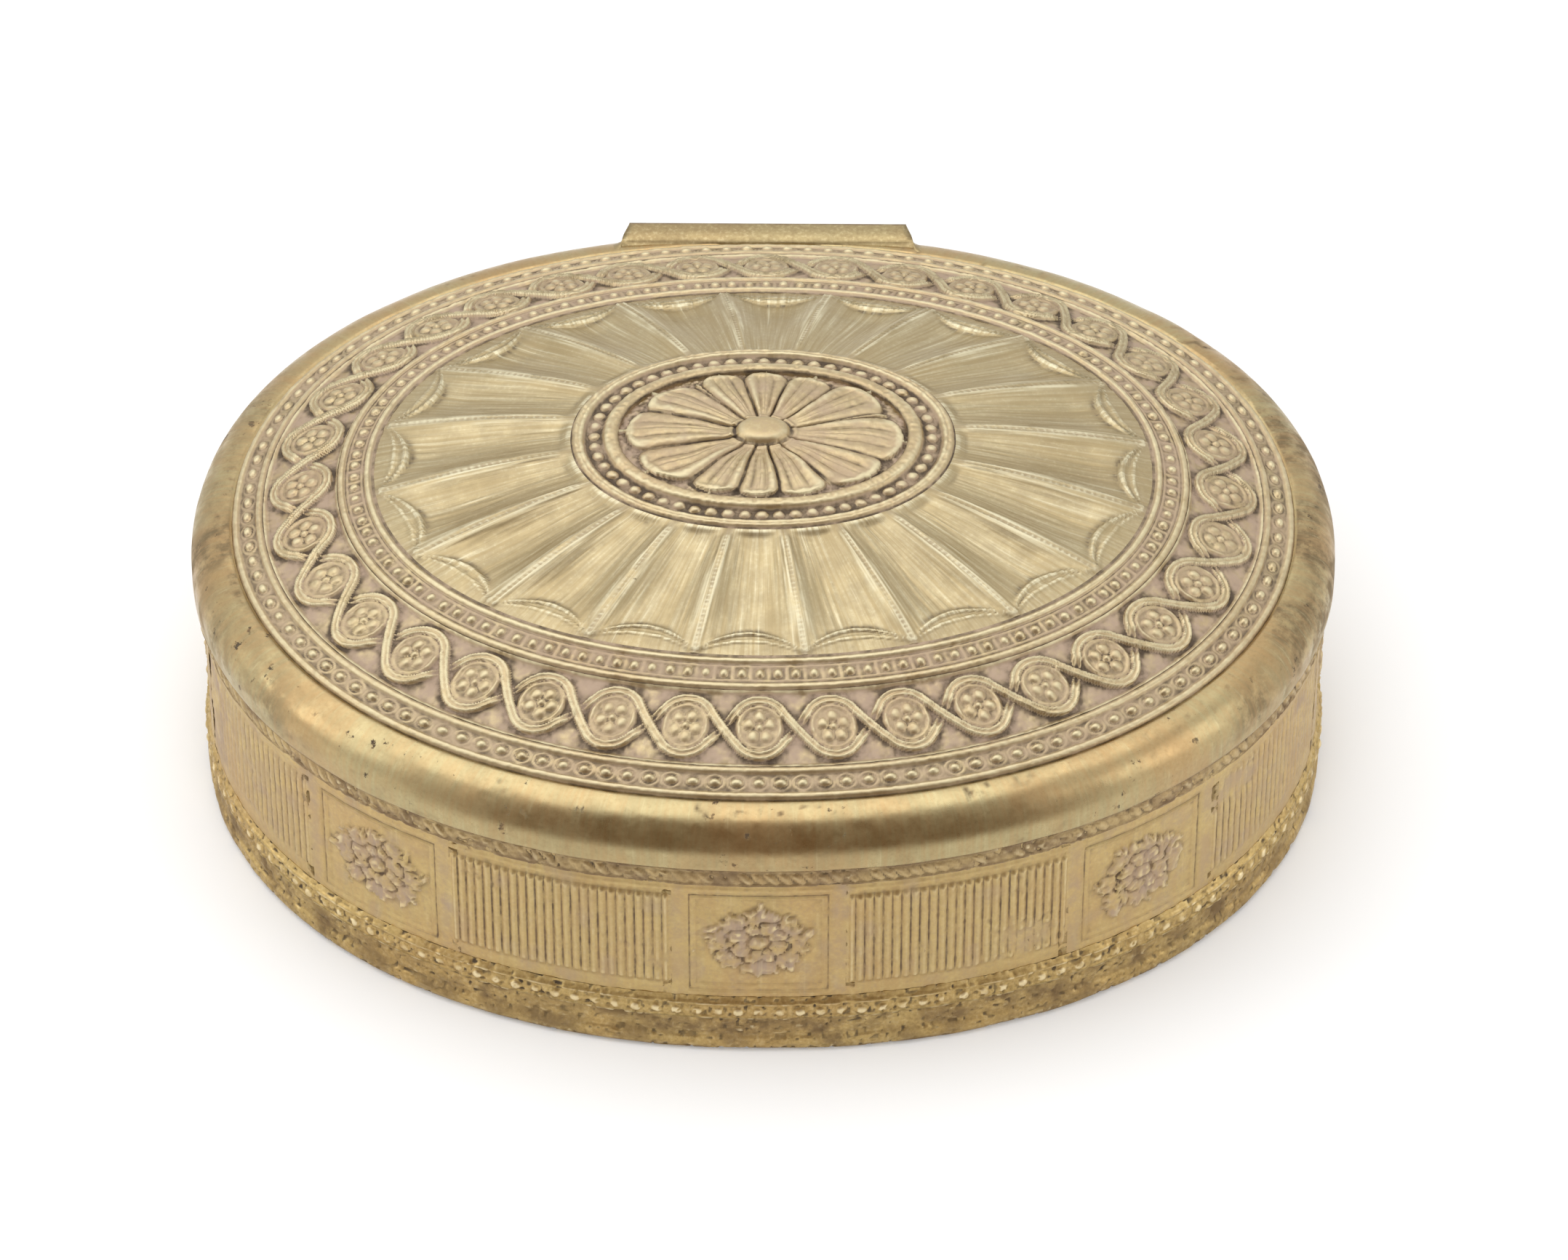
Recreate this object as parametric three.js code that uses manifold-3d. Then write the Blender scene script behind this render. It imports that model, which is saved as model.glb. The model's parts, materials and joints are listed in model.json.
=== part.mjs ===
// Oval trinket box of stamped sheet brass, with a domed lid hinged at the back.
// Millimetres. +X runs along the length, -Y is the front, +Z is up.
// The origin is the middle of the underside.
import * as THREE from "three";
import { mergeVertices } from "three/addons/utils/BufferGeometryUtils.js";
import Module from "manifold-3d";

const wasm = await Module();
wasm.setup();

// Plan of the lid, the widest part of the box
const LID_LENGTH = 120;
const LID_WIDTH = 96;
const OVAL_POWER = 2.1;

// Heights
const SEAM_Z = 23.9;
const SEAM_GAP = 0.3;
const FOOT_HEIGHT = 7.7;
const EDGE_STRIP_HEIGHT = 2.1;
const RIM_BAND_HEIGHT = 1.8;
const DOME_RISE = 11;
const DOME_POWER = 2.5;
const COLLAR_RISE = 3.5;

// Sheet thicknesses and clearances
const RIM_SHEET = 0.8;
const PLAQUE_SHEET = 0.8;
const WALL_SHEET = 0.8;
const LINER_SHEET = 0.7;
const BASE_SHEET = 0.8;
const FIT = 0.3;
const SOLDER_GAP = 0.2;

// Rim of the lid
const RIM_ROUND = 4.1;
const SHELF_WIDTH = 2.3;
const SHELF_SLOPE = 0.6;
const SKIRT_INSET = 0.9;
const EDGE_STRIP_PROUD = 0.45;

// Stamped bands of the plaque, from the rim inwards
const FILLET_WIDTH = 0.9;
const OUTER_PEARLS_WIDTH = 1.55;
const BORDER_WIDTH = 7.8;
const INNER_PEARLS_WIDTH = 1.85;
const FLUTE_MARGIN = 0.5;

// Relief of those bands
const FILLET_HEIGHT = 0.35;
const PEARL_BAND_HEIGHT = 0.4;
const BORDER_DEPTH = 0.35;
const ROSETTES = 36;
const RIBBON_SWING = 2.45;
const RIBBON_WIDTH = 2.4;
const RIBBON_HEIGHT = 0.75;
const EYE_WIDTH = 3;
const EYE_HEIGHT = 0.5;

// Flutes
const FLUTES = 20;
const FLUTE_DEPTH = 0.8;
const FLUTE_RIDGE = 0.15;
const LUNETTE_REACH = 2.9;
const FLUTE_CLOSE = 2.5;

// Medallion in the middle of the lid, by full length and width of each oval
const MEDALLION_LENGTH = 40;
const MEDALLION_WIDTH = 28.2;
const MEDALLION_FILLET_WIDTH = 1.3;
const MEDALLION_PEARLS_WIDTH = 2.2;
const MEDALLION_RING_WIDTH = 1.5;
const MEDALLION_RING_HEIGHT = 0.5;
const FLOWER_FIELD_WIDTH = 20;
const BUTTON_LENGTH = 6.2;
const BUTTON_WIDTH = 4.4;
const BUTTON_HEIGHT = 1;
const FIELD_DEPTH = 0.35;
const PETALS = 12;
const PETAL_HEIGHT = 0.7;

// Body wall and its panels
const WALL_INSET = 0.8;
const BAYS = 8;
const FLOWER_PANEL_WIDTH = 15;
const PILASTER_WIDTH = 1.6;
const PANEL_LOW = 0.5;
const PANEL_TOP_MARGIN = 1.8;
const PANEL_EDGE = 0.3;
const PANEL_DEPTH = 0.3;
const PANEL_FLOWER_RADIUS = 4.9;
const PANEL_FLOWER_PROUD = 0.2;
const PANEL_FLOWER_LOBES = 8;

// Foot
const FOOT_PROUD = 0.45;
const FOOT_BEAD_Z = 5.8;
const FOOT_BEAD_RADIUS = 0.9;
const FOOT_COVE_Z = 3.4;

// Hinge
const HINGE_WIDTH = 30.2;
const HINGE_PLATE_FLARE = 0.8;
const HINGE_PLATE_DEPTH = 2.8;
const HINGE_PLATE_RISE = 0.55;
const HINGE_AXIS_OUT = 2;
const KNUCKLES = 5;
const KNUCKLE_GAP = 0.35;
const KNUCKLE_RADIUS = 1.5;
const PIN_RADIUS = 0.6;
const PIN_HEAD_RADIUS = 1.1;
const PIN_HEAD_LENGTH = 0.5;
const LEAF_THICKNESS = 1;
const LEAF_ROOT = 5;
const LEAF_EDGE = 0.4;
const BODY_LEAF_DROP = 10;
const PLATE_END_STRAIGHT = 0.6;
const WEB_STEEPNESS = 1.25;
const WEB_CLEARANCE = 0.6;
const TONGUE_OVERLAP = 0.5;
const TONGUE_THICKNESS = 0.7;

// How finely curves are cut
const PLAIN_STEPS = 52;
const BORDER_STEPS = ROSETTES * 4;
const FLUTE_STEPS = FLUTES * 6;
const PETAL_STEPS = PETALS * 6;
const ROUND_STEPS = 4;
const KNUCKLE_STEPS = 20;

// Worked out from the sizes above
const HALF_LENGTH = LID_LENGTH / 2;
const HALF_WIDTH = LID_WIDTH / 2;
const EDGE_STRIP_TOP = SEAM_Z + EDGE_STRIP_HEIGHT;
const RIM_LEDGE_Z = EDGE_STRIP_TOP + FIT;
const ROUND_CENTRE_Z = RIM_LEDGE_Z + RIM_BAND_HEIGHT;
const RIM_TOP_Z = ROUND_CENTRE_Z + RIM_ROUND;
const PLAQUE_EDGE_AT = RIM_ROUND + FIT;
const PLAQUE_EDGE_Z = RIM_TOP_Z - 0.1;
const CROWN_Z = PLAQUE_EDGE_Z + DOME_RISE;
const WALL_TOP_Z = SEAM_Z - SEAM_GAP;
const LINER_INSET = Math.max(WALL_INSET + WALL_SHEET, SKIRT_INSET + RIM_SHEET) + FIT;
const LINER_TOP_Z = SEAM_Z + COLLAR_RISE;
const AXIS_Y = HALF_WIDTH + HINGE_AXIS_OUT;
const AXIS_Z = SEAM_Z;
const HINGE_PLATE_WIDTH = HINGE_WIDTH + 2 * HINGE_PLATE_FLARE;
const FLOWER_FIELD_EDGE =
  MEDALLION_LENGTH / 2 - MEDALLION_FILLET_WIDTH - MEDALLION_PEARLS_WIDTH - MEDALLION_RING_WIDTH;

// Bands laid side by side from a start, each with its outer edge, middle and inner edge.
function stack(start, widths) {
  let at = start;
  return widths.map((width) => {
    const band = { outer: at, middle: at + width / 2, inner: at + width };
    at = band.inner;
    return band;
  });
}

const [OUTER_FILLET, OUTER_PEARLS, BORDER_FILLET, BORDER, INNER_FILLET, INNER_PEARLS, FLUTE_FILLET] =
  stack(PLAQUE_EDGE_AT, [
    FILLET_WIDTH,
    OUTER_PEARLS_WIDTH,
    FILLET_WIDTH,
    BORDER_WIDTH,
    FILLET_WIDTH,
    INNER_PEARLS_WIDTH,
    FILLET_WIDTH,
  ]);
const FLUTES_END_AT = FLUTE_FILLET.inner + FLUTE_MARGIN;

const BRASS = { color: 0xb99b5c, roughness: 0.38, metalness: 1 };
const PATINA = { color: 0xa58a5e, roughness: 0.5, metalness: 1 };
const STEEL = { color: 0x8c8474, roughness: 0.4, metalness: 1 };

// A point of the oval with the given half length and half width, at an angle from the front.
function ovalPoint(angle, halfLength, halfWidth) {
  const power = 2 / OVAL_POWER;
  const across = Math.sin(angle);
  const along = -Math.cos(angle);
  return [
    halfLength * Math.sign(across) * Math.abs(across) ** power,
    halfWidth * Math.sign(along) * Math.abs(along) ** power,
  ];
}

// Lengths along the oval at a distance in from the lid's edge, and the angles that go with them.
function measureOval(inset, samples) {
  const angles = [0];
  const lengths = [0];
  let before = ovalPoint(0, HALF_LENGTH - inset, HALF_WIDTH - inset);
  for (let i = 1; i <= samples; i++) {
    const angle = (i / samples) * 2 * Math.PI;
    const here = ovalPoint(angle, HALF_LENGTH - inset, HALF_WIDTH - inset);
    lengths.push(lengths[i - 1] + Math.hypot(here[0] - before[0], here[1] - before[1]));
    angles.push(angle);
    before = here;
  }
  return { angles, lengths, around: lengths[samples] };
}

// Turns are even along the ribbon border: 0 is the front and 0.25 the right end.
const ALONG = measureOval(BORDER.middle, 1440);
const WALL_AROUND = measureOval(WALL_INSET, 1440).around;

function angleAt(turn) {
  const wrapped = ((turn % 1) + 1) % 1;
  const wanted = wrapped * ALONG.around;
  let low = 0;
  let high = ALONG.lengths.length - 1;
  while (high - low > 1) {
    const middle = (low + high) >> 1;
    if (ALONG.lengths[middle] <= wanted) low = middle;
    else high = middle;
  }
  const share = (wanted - ALONG.lengths[low]) / (ALONG.lengths[high] - ALONG.lengths[low]);
  return ALONG.angles[low] + share * (ALONG.angles[high] - ALONG.angles[low]);
}

// Half width that goes with each half length: the plan changes from the flower's oval to the lid's.
const PLAN = [
  [0, 0],
  [BUTTON_LENGTH / 2, BUTTON_WIDTH / 2],
  [FLOWER_FIELD_EDGE, FLOWER_FIELD_WIDTH / 2],
  [MEDALLION_LENGTH / 2, MEDALLION_WIDTH / 2],
  [HALF_LENGTH - FLUTES_END_AT, HALF_WIDTH - FLUTES_END_AT],
  [HALF_LENGTH, HALF_WIDTH],
];

function halfWidthAt(halfLength) {
  let i = 1;
  while (i < PLAN.length - 1 && PLAN[i][0] < halfLength) i++;
  const [a, b] = [PLAN[i - 1], PLAN[i]];
  return a[1] + ((halfLength - a[0]) / (b[0] - a[0])) * (b[1] - a[1]);
}

function domeZ(halfLength) {
  const share = halfLength / (HALF_LENGTH - PLAQUE_EDGE_AT);
  return CROWN_Z - DOME_RISE * share ** DOME_POWER;
}

// A skin grows ring by ring. Rings run the same way round as the turn.
class Skin {
  constructor() {
    this.positions = [];
    this.triangles = [];
  }

  // Adds one ring and says where it starts and at which turns its points lie.
  ring(turns, place) {
    const start = this.positions.length / 3;
    for (const turn of turns) this.positions.push(...place(turn));
    return { start, turns };
  }

  // Joins two rings, whatever their counts, so that the face is on the left of the way from a to b.
  join(a, b) {
    const na = a.turns.length;
    const nb = b.turns.length;
    let i = 0;
    let j = 0;
    while (i < na || j < nb) {
      const nextA = i < na ? (i + 1 < na ? a.turns[i + 1] : a.turns[0] + 1) : Infinity;
      const nextB = j < nb ? (j + 1 < nb ? b.turns[j + 1] : b.turns[0] + 1) : Infinity;
      const pa = a.start + (i % na);
      const pb = b.start + (j % nb);
      if (nextA <= nextB) {
        this.triangles.push(pa, a.start + ((i + 1) % na), pb);
        i++;
      } else {
        this.triangles.push(pa, b.start + ((j + 1) % nb), pb);
        j++;
      }
    }
  }

  // Closes a ring onto one point.
  point(ring, x, y, z, facingUp) {
    const apex = this.positions.length / 3;
    this.positions.push(x, y, z);
    const n = ring.turns.length;
    for (let i = 0; i < n; i++) {
      const p = ring.start + i;
      const q = ring.start + ((i + 1) % n);
      this.triangles.push(...(facingUp ? [p, q, apex] : [q, p, apex]));
    }
  }

  geometry() {
    const g = new THREE.BufferGeometry();
    g.setAttribute("position", new THREE.Float32BufferAttribute(this.positions, 3));
    g.setIndex(this.triangles);
    g.computeVertexNormals();
    return g;
  }
}

const evenTurns = (steps) => Array.from({ length: steps }, (_, i) => i / steps);

// A point on the lid's plan, at a half length and a height.
function planPoint(turn, halfLength, z) {
  const [x, y] = ovalPoint(angleAt(turn), halfLength, halfWidthAt(halfLength));
  return [x, y, z];
}

// A closed oval hoop: the section is [distance in from the lid's edge, height] points, outer side
// going up, top going in. An entry may be a function of the turn, which is cut at the fine turns.
function hoop(section, fineTurns) {
  const skin = new Skin();
  const plain = evenTurns(PLAIN_STEPS);
  const rings = section.map((entry) => {
    const shaped = typeof entry === "function";
    return skin.ring(shaped ? fineTurns : plain, (turn) => {
      const [inset, z] = shaped ? entry(turn) : entry;
      return planPoint(turn, HALF_LENGTH - inset, z);
    });
  });
  rings.forEach((ring, i) => skin.join(ring, rings[(i + 1) % rings.length]));
  return skin.geometry();
}

// A flat oval sheet.
function ovalSheet(inset, low, high) {
  const skin = new Skin();
  const turns = evenTurns(PLAIN_STEPS);
  const bottom = skin.ring(turns, (turn) => planPoint(turn, HALF_LENGTH - inset, low));
  const top = skin.ring(turns, (turn) => planPoint(turn, HALF_LENGTH - inset, high));
  skin.point(bottom, 0, 0, low, false);
  skin.join(bottom, top);
  skin.point(top, 0, 0, high, true);
  return skin.geometry();
}

// Points of a quarter circle in a section, from level with its centre to straight above it.
function quarter(centreInset, centreZ, radius, steps) {
  return Array.from({ length: steps + 1 }, (_, i) => {
    const angle = (i / steps) * (Math.PI / 2);
    return [centreInset - radius * Math.cos(angle), centreZ + radius * Math.sin(angle)];
  });
}

function solid(geometry) {
  const g = geometry.index ? geometry.toNonIndexed() : geometry.clone();
  g.deleteAttribute("normal");
  g.deleteAttribute("uv");
  const merged = mergeVertices(g, 1e-4);
  return new wasm.Manifold(
    new wasm.Mesh({
      numProp: 3,
      vertProperties: new Float32Array(merged.attributes.position.array),
      triVerts: new Uint32Array(merged.index.array),
    }),
  );
}

function geometryOf(made) {
  const mesh = made.getMesh();
  const g = new THREE.BufferGeometry();
  g.setAttribute("position", new THREE.BufferAttribute(new Float32Array(mesh.vertProperties), 3));
  g.setIndex(new THREE.BufferAttribute(new Uint32Array(mesh.triVerts), 1));
  g.computeVertexNormals();
  return g;
}

// Lid rim: a rolled half round with a skirt below it and a shelf inside that the plaque sits on.
function rimSection() {
  const outer = quarter(RIM_ROUND, ROUND_CENTRE_Z, RIM_ROUND, ROUND_STEPS);
  const inner = quarter(RIM_ROUND, ROUND_CENTRE_Z, RIM_ROUND - RIM_SHEET, ROUND_STEPS).slice(0, -2);
  const shelfTop = PLAQUE_EDGE_Z - PLAQUE_SHEET - FIT * (1 + SHELF_SLOPE / SHELF_WIDTH);
  const lip = RIM_ROUND - RIM_SHEET;
  const skirtInner = SKIRT_INSET + RIM_SHEET;
  return [
    [SKIRT_INSET, SEAM_Z],
    [SKIRT_INSET, RIM_LEDGE_Z],
    [0, RIM_LEDGE_Z],
    ...outer,
    [RIM_ROUND, shelfTop],
    [RIM_ROUND + SHELF_WIDTH, shelfTop + SHELF_SLOPE],
    [RIM_ROUND + SHELF_WIDTH, shelfTop + SHELF_SLOPE - RIM_SHEET],
    [RIM_ROUND, shelfTop - RIM_SHEET],
    [lip, shelfTop - RIM_SHEET],
    ...inner.reverse(),
    [skirtInner, RIM_LEDGE_Z],
    [skirtInner, SEAM_Z],
  ];
}

function lidRim() {
  return hoop(rimSection());
}

// Strip of twisted leaf that runs round the lid's lower edge, outside its skirt.
function lidEdgeMoulding() {
  const back = SKIRT_INSET - FIT;
  const front = back - EDGE_STRIP_PROUD;
  const shoulder = (front + back) / 2;
  const low = SEAM_Z;
  const high = EDGE_STRIP_TOP;
  const quarterHeight = EDGE_STRIP_HEIGHT / 4;
  const section = [
    [shoulder, low],
    [front, low + quarterHeight],
    [front, high - quarterHeight],
    [shoulder, high],
    [back, high],
    [back, low],
  ];
  return hoop(section);
}

// A rounded ridge across a band: full height in the middle, nothing from half its width out.
function ridge(distance, width, height) {
  const share = (2 * distance) / width;
  return height * Math.max(0, 1 - share * share);
}

// Two ribbons swing from side to side and cross between the rosettes, with a flower in each eye.
function borderRelief(turn, halfLength) {
  const across = halfLength - fromEdge(BORDER.middle);
  const swing = RIBBON_SWING * Math.cos(Math.PI * ROSETTES * turn);
  const ribbon = Math.max(
    ridge(across - swing, RIBBON_WIDTH, RIBBON_HEIGHT),
    ridge(across + swing, RIBBON_WIDTH, RIBBON_HEIGHT),
  );
  const along = (turn * ROSETTES - Math.round(turn * ROSETTES)) * (ALONG.around / ROSETTES);
  const eye = ridge(Math.hypot(along, across), EYE_WIDTH, EYE_HEIGHT);
  return Math.max(ribbon, eye) - BORDER_DEPTH;
}

// How far a point lies across its flute, from 0 in the middle to 1 on the ridge between two.
function fluteShare(turn, count) {
  const phase = turn * count;
  return 2 * Math.abs(phase - Math.round(phase));
}

// A flute is a round-bottomed channel that runs out at a curved lunette.
function fluteRelief(turn, halfLength) {
  const across = fluteShare(turn, FLUTES);
  const fromEnd = fromEdge(FLUTES_END_AT) - halfLength;
  const reach = LUNETTE_REACH * (1 - across * across);
  const fromMedallion = halfLength - MEDALLION_LENGTH / 2;
  const opened = THREE.MathUtils.smoothstep(fromEnd, reach * 0.5, reach + 1);
  const closed = THREE.MathUtils.smoothstep(fromMedallion, 0, FLUTE_CLOSE);
  return FLUTE_RIDGE - (FLUTE_DEPTH + FLUTE_RIDGE) * (1 - across * across) * opened * closed;
}

// Twelve petals with a raised middle rib, rounded at the tip, on a sunk field.
function petalRelief(turn, halfLength) {
  const inner = BUTTON_LENGTH / 2;
  const along = (halfLength - inner) / (FLOWER_FIELD_EDGE - inner);
  const across = fluteShare(turn, PETALS);
  const tip = 1 - THREE.MathUtils.smoothstep(along + 0.25 * across * across, 0.75, 1);
  const swell = Math.sin(Math.PI * Math.min(1, 0.25 + 0.75 * along));
  return PETAL_HEIGHT * (1 - across ** 4) * tip * (0.35 + 0.65 * swell) - FIELD_DEPTH;
}

function fromEdge(inset) {
  return HALF_LENGTH - inset;
}

// The crest of one plain band and its inner foot.
function crest(band, height) {
  return [
    [fromEdge(band.middle), height],
    [fromEdge(band.inner), 0],
  ];
}

// Rings of the ribbon border, evenly spaced across it.
function borderRings() {
  const rows = 5;
  return Array.from({ length: rows + 1 }, (_, i) => {
    const share = i / rows;
    return [fromEdge(BORDER.outer + share * BORDER_WIDTH), borderRelief];
  });
}

// Rings of the flutes: close together at the lunettes, one long reach to the medallion.
function fluteRings() {
  const outer = fromEdge(FLUTES_END_AT);
  const inner = MEDALLION_LENGTH / 2;
  return [
    [outer, FLUTE_RIDGE],
    [outer - 0.5 * LUNETTE_REACH, fluteRelief],
    [outer - LUNETTE_REACH, fluteRelief],
    [outer - 1.4 * LUNETTE_REACH, fluteRelief],
    [inner + FLUTE_CLOSE, fluteRelief],
    [inner, FLUTE_RIDGE],
  ];
}

// Rings of the medallion's frame: a fillet, a row of pearls and a smooth ring.
function medallionRings() {
  const edge = MEDALLION_LENGTH / 2;
  const [fillet, pearls, ring] = stack(0, [
    MEDALLION_FILLET_WIDTH,
    MEDALLION_PEARLS_WIDTH,
    MEDALLION_RING_WIDTH,
  ]);
  return [
    [edge - fillet.middle, FILLET_HEIGHT],
    [edge - fillet.inner, 0],
    [edge - pearls.middle, PEARL_BAND_HEIGHT],
    [edge - pearls.inner, 0],
    [edge - ring.middle, MEDALLION_RING_HEIGHT],
  ];
}

// Rings of the flower and its button.
function flowerRings() {
  const button = BUTTON_LENGTH / 2;
  const reach = FLOWER_FIELD_EDGE - button;
  const petals = [0.92, 0.78, 0.4, 0.04].map((share) => [button + share * reach, petalRelief]);
  return [
    [FLOWER_FIELD_EDGE, -FIELD_DEPTH],
    ...petals,
    [button, BUTTON_HEIGHT * 0.5],
    [button * 0.6, BUTTON_HEIGHT * 0.9],
  ];
}

// The plaque's top as bands of rings, from the edge inwards. Each ring is a half length and a relief.
function plaqueBands() {
  const plain = evenTurns(PLAIN_STEPS);
  const outerRings = [
    [fromEdge(PLAQUE_EDGE_AT), 0],
    ...crest(OUTER_FILLET, FILLET_HEIGHT),
    ...crest(OUTER_PEARLS, PEARL_BAND_HEIGHT),
    [fromEdge(BORDER_FILLET.middle), FILLET_HEIGHT],
  ];
  const innerRings = [
    ...crest(INNER_FILLET, FILLET_HEIGHT),
    ...crest(INNER_PEARLS, PEARL_BAND_HEIGHT),
    ...crest(FLUTE_FILLET, FILLET_HEIGHT),
  ];
  return [
    { turns: plain, rings: outerRings },
    { turns: evenTurns(BORDER_STEPS), rings: borderRings() },
    { turns: plain, rings: innerRings },
    { turns: evenTurns(FLUTE_STEPS), rings: fluteRings() },
    { turns: plain, rings: medallionRings() },
    { turns: evenTurns(PETAL_STEPS), rings: flowerRings() },
  ];
}

// Domed stamped sheet set in the rim.
function lidPlaque() {
  const skin = new Skin();
  let before = null;
  let first = null;
  for (const { turns, rings } of plaqueBands()) {
    for (const [halfLength, relief] of rings) {
      const ring = skin.ring(turns, (turn) => {
        const lift = typeof relief === "function" ? relief(turn, halfLength) : relief;
        return planPoint(turn, halfLength, domeZ(halfLength) + lift);
      });
      if (before) skin.join(before, ring);
      first ??= ring;
      before = ring;
    }
  }
  skin.point(before, 0, 0, CROWN_Z + BUTTON_HEIGHT, true);

  const under = PLAQUE_SHEET + FLUTE_DEPTH / 2;
  const turns = evenTurns(PLAIN_STEPS);
  const edge = fromEdge(PLAQUE_EDGE_AT);
  const edgeRing = skin.ring(turns, (turn) => planPoint(turn, edge, PLAQUE_EDGE_Z - PLAQUE_SHEET));
  skin.join(edgeRing, first);
  let above = edgeRing;
  for (const halfLength of [fromEdge(BORDER.middle), fromEdge(FLUTES_END_AT), MEDALLION_LENGTH / 2]) {
    const ring = skin.ring(turns, (turn) => planPoint(turn, halfLength, domeZ(halfLength) - under));
    skin.join(ring, above);
    above = ring;
  }
  skin.point(above, 0, 0, CROWN_Z - under, false);
  return skin.geometry();
}

const BAY = WALL_AROUND / BAYS;
const HALF_FLOWER_PANEL = FLOWER_PANEL_WIDTH / 2;
const REEDS_START = HALF_FLOWER_PANEL + PILASTER_WIDTH;

// Turns at which the wall is cut: at each panel's edges and evenly between them.
function wallTurns() {
  const half = [HALF_FLOWER_PANEL / 2, HALF_FLOWER_PANEL - PANEL_EDGE, HALF_FLOWER_PANEL];
  half.push(REEDS_START, REEDS_START + PANEL_EDGE, (REEDS_START + BAY / 2) / 2);
  const otherHalf = half.map((mark) => BAY - mark).reverse();
  const marks = [0, ...half, BAY / 2, ...otherHalf];
  const turns = [];
  for (let i = 0; i < BAYS; i++) {
    for (const mark of marks) turns.push((i * BAY + mark) / WALL_AROUND);
  }
  return turns;
}

// How deep the wall is sunk at a turn: in both kinds of panel, not on the pilasters between them.
function panelDepth(turn) {
  const along = (turn * WALL_AROUND) % BAY;
  const fromFlower = Math.min(along, BAY - along);
  const inFlowerPanel = fromFlower < HALF_FLOWER_PANEL - PANEL_EDGE / 2;
  const inReeds = fromFlower > REEDS_START + PANEL_EDGE / 2;
  return inFlowerPanel || inReeds ? PANEL_DEPTH : 0;
}

// A round flower that stands out of a panel, with lobes about a raised eye. It follows the wall.
function panelFlower(turn) {
  const middleZ = (FOOT_HEIGHT + PANEL_LOW + WALL_TOP_Z - PANEL_TOP_MARGIN) / 2;
  const face = fromEdge(WALL_INSET);
  const place = (radius, proud) => (t) => {
    const angle = t * 2 * Math.PI;
    const reach = radius * (1 + 0.1 * Math.cos(PANEL_FLOWER_LOBES * angle));
    const along = (reach * Math.cos(angle)) / WALL_AROUND;
    return planPoint(turn + along, face + proud, middleZ + reach * Math.sin(angle));
  };
  const skin = new Skin();
  const turns = evenTurns(PANEL_FLOWER_LOBES * 2);
  const buried = -(PANEL_DEPTH + WALL_SHEET) / 2;
  const back = skin.ring(turns, place(PANEL_FLOWER_RADIUS, buried));
  const rim = skin.ring(turns, place(PANEL_FLOWER_RADIUS, PANEL_FLOWER_PROUD - PANEL_DEPTH));
  const top = skin.ring(turns, place(PANEL_FLOWER_RADIUS * 0.55, PANEL_FLOWER_PROUD));
  skin.point(back, ...planPoint(turn, face + buried, middleZ), false);
  skin.join(back, rim);
  skin.join(rim, top);
  skin.point(top, ...planPoint(turn, face, middleZ), true);
  return skin.geometry();
}

// Upright stamped strip with eight flower panels and eight sunk reeded panels between them.
function bodyWall() {
  const flush = (z) => () => [WALL_INSET, z];
  const sunk = (z) => (turn) => [WALL_INSET + panelDepth(turn), z];
  const low = FOOT_HEIGHT + PANEL_LOW;
  const high = WALL_TOP_Z - PANEL_TOP_MARGIN;
  const inside = WALL_INSET + WALL_SHEET;
  const section = [
    [WALL_INSET, FOOT_HEIGHT],
    flush(low),
    sunk(low + PANEL_EDGE),
    sunk(high - PANEL_EDGE),
    flush(high),
    [WALL_INSET, WALL_TOP_Z],
    [inside, WALL_TOP_Z],
    [inside, FOOT_HEIGHT],
  ];
  let wall = solid(hoop(section, wallTurns()));
  for (let i = 0; i < BAYS; i++) wall = wall.add(solid(panelFlower(i / BAYS)));
  return geometryOf(wall);
}

// Stamped strip round the foot: a plain fillet, a cove and a row of beads under the wall.
function baseMoulding() {
  const face = WALL_INSET;
  const proud = WALL_INSET - FOOT_PROUD;
  const inside = WALL_INSET + WALL_SHEET;
  const beadLow = FOOT_BEAD_Z - FOOT_BEAD_RADIUS;
  const beadHigh = FOOT_BEAD_Z + FOOT_BEAD_RADIUS;
  const section = [
    [proud + 0.3, 0],
    [proud, 0.5],
    [proud, 1.7],
    [face - 0.1, FOOT_COVE_Z - 0.6],
    [face, FOOT_COVE_Z + 0.4],
    [face - 0.1, beadLow],
    [proud, FOOT_BEAD_Z],
    [face - 0.1, beadHigh],
    [face, FOOT_HEIGHT],
    [inside, FOOT_HEIGHT],
    [inside, 0],
  ];
  return hoop(section);
}

function basePlate() {
  return ovalSheet(WALL_INSET + WALL_SHEET + FIT, 0, BASE_SHEET);
}

// Plain inner wall. It stands on the base plate and rises past the seam as a collar for the lid.
function innerCollar() {
  const inner = LINER_INSET + LINER_SHEET;
  const section = [
    [LINER_INSET, BASE_SHEET],
    [LINER_INSET, LINER_TOP_Z - 0.3],
    [LINER_INSET + 0.3, LINER_TOP_Z],
    [inner, LINER_TOP_Z],
    [inner, BASE_SHEET],
  ];
  return hoop(section);
}

// Everything within a hoop's outer face, grown by a gap: what a hinge leaf is cut to fit round.
function envelope(section, gap) {
  const skin = new Skin();
  const turns = evenTurns(PLAIN_STEPS);
  const rings = section.map(([inset, z]) =>
    skin.ring(turns, (turn) => planPoint(turn, HALF_LENGTH - inset + gap, z)),
  );
  skin.point(rings[0], 0, 0, section[0][1], false);
  for (let i = 1; i < rings.length; i++) skin.join(rings[i - 1], rings[i]);
  skin.point(rings.at(-1), 0, 0, section.at(-1)[1], true);
  return solid(skin.geometry());
}

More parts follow.
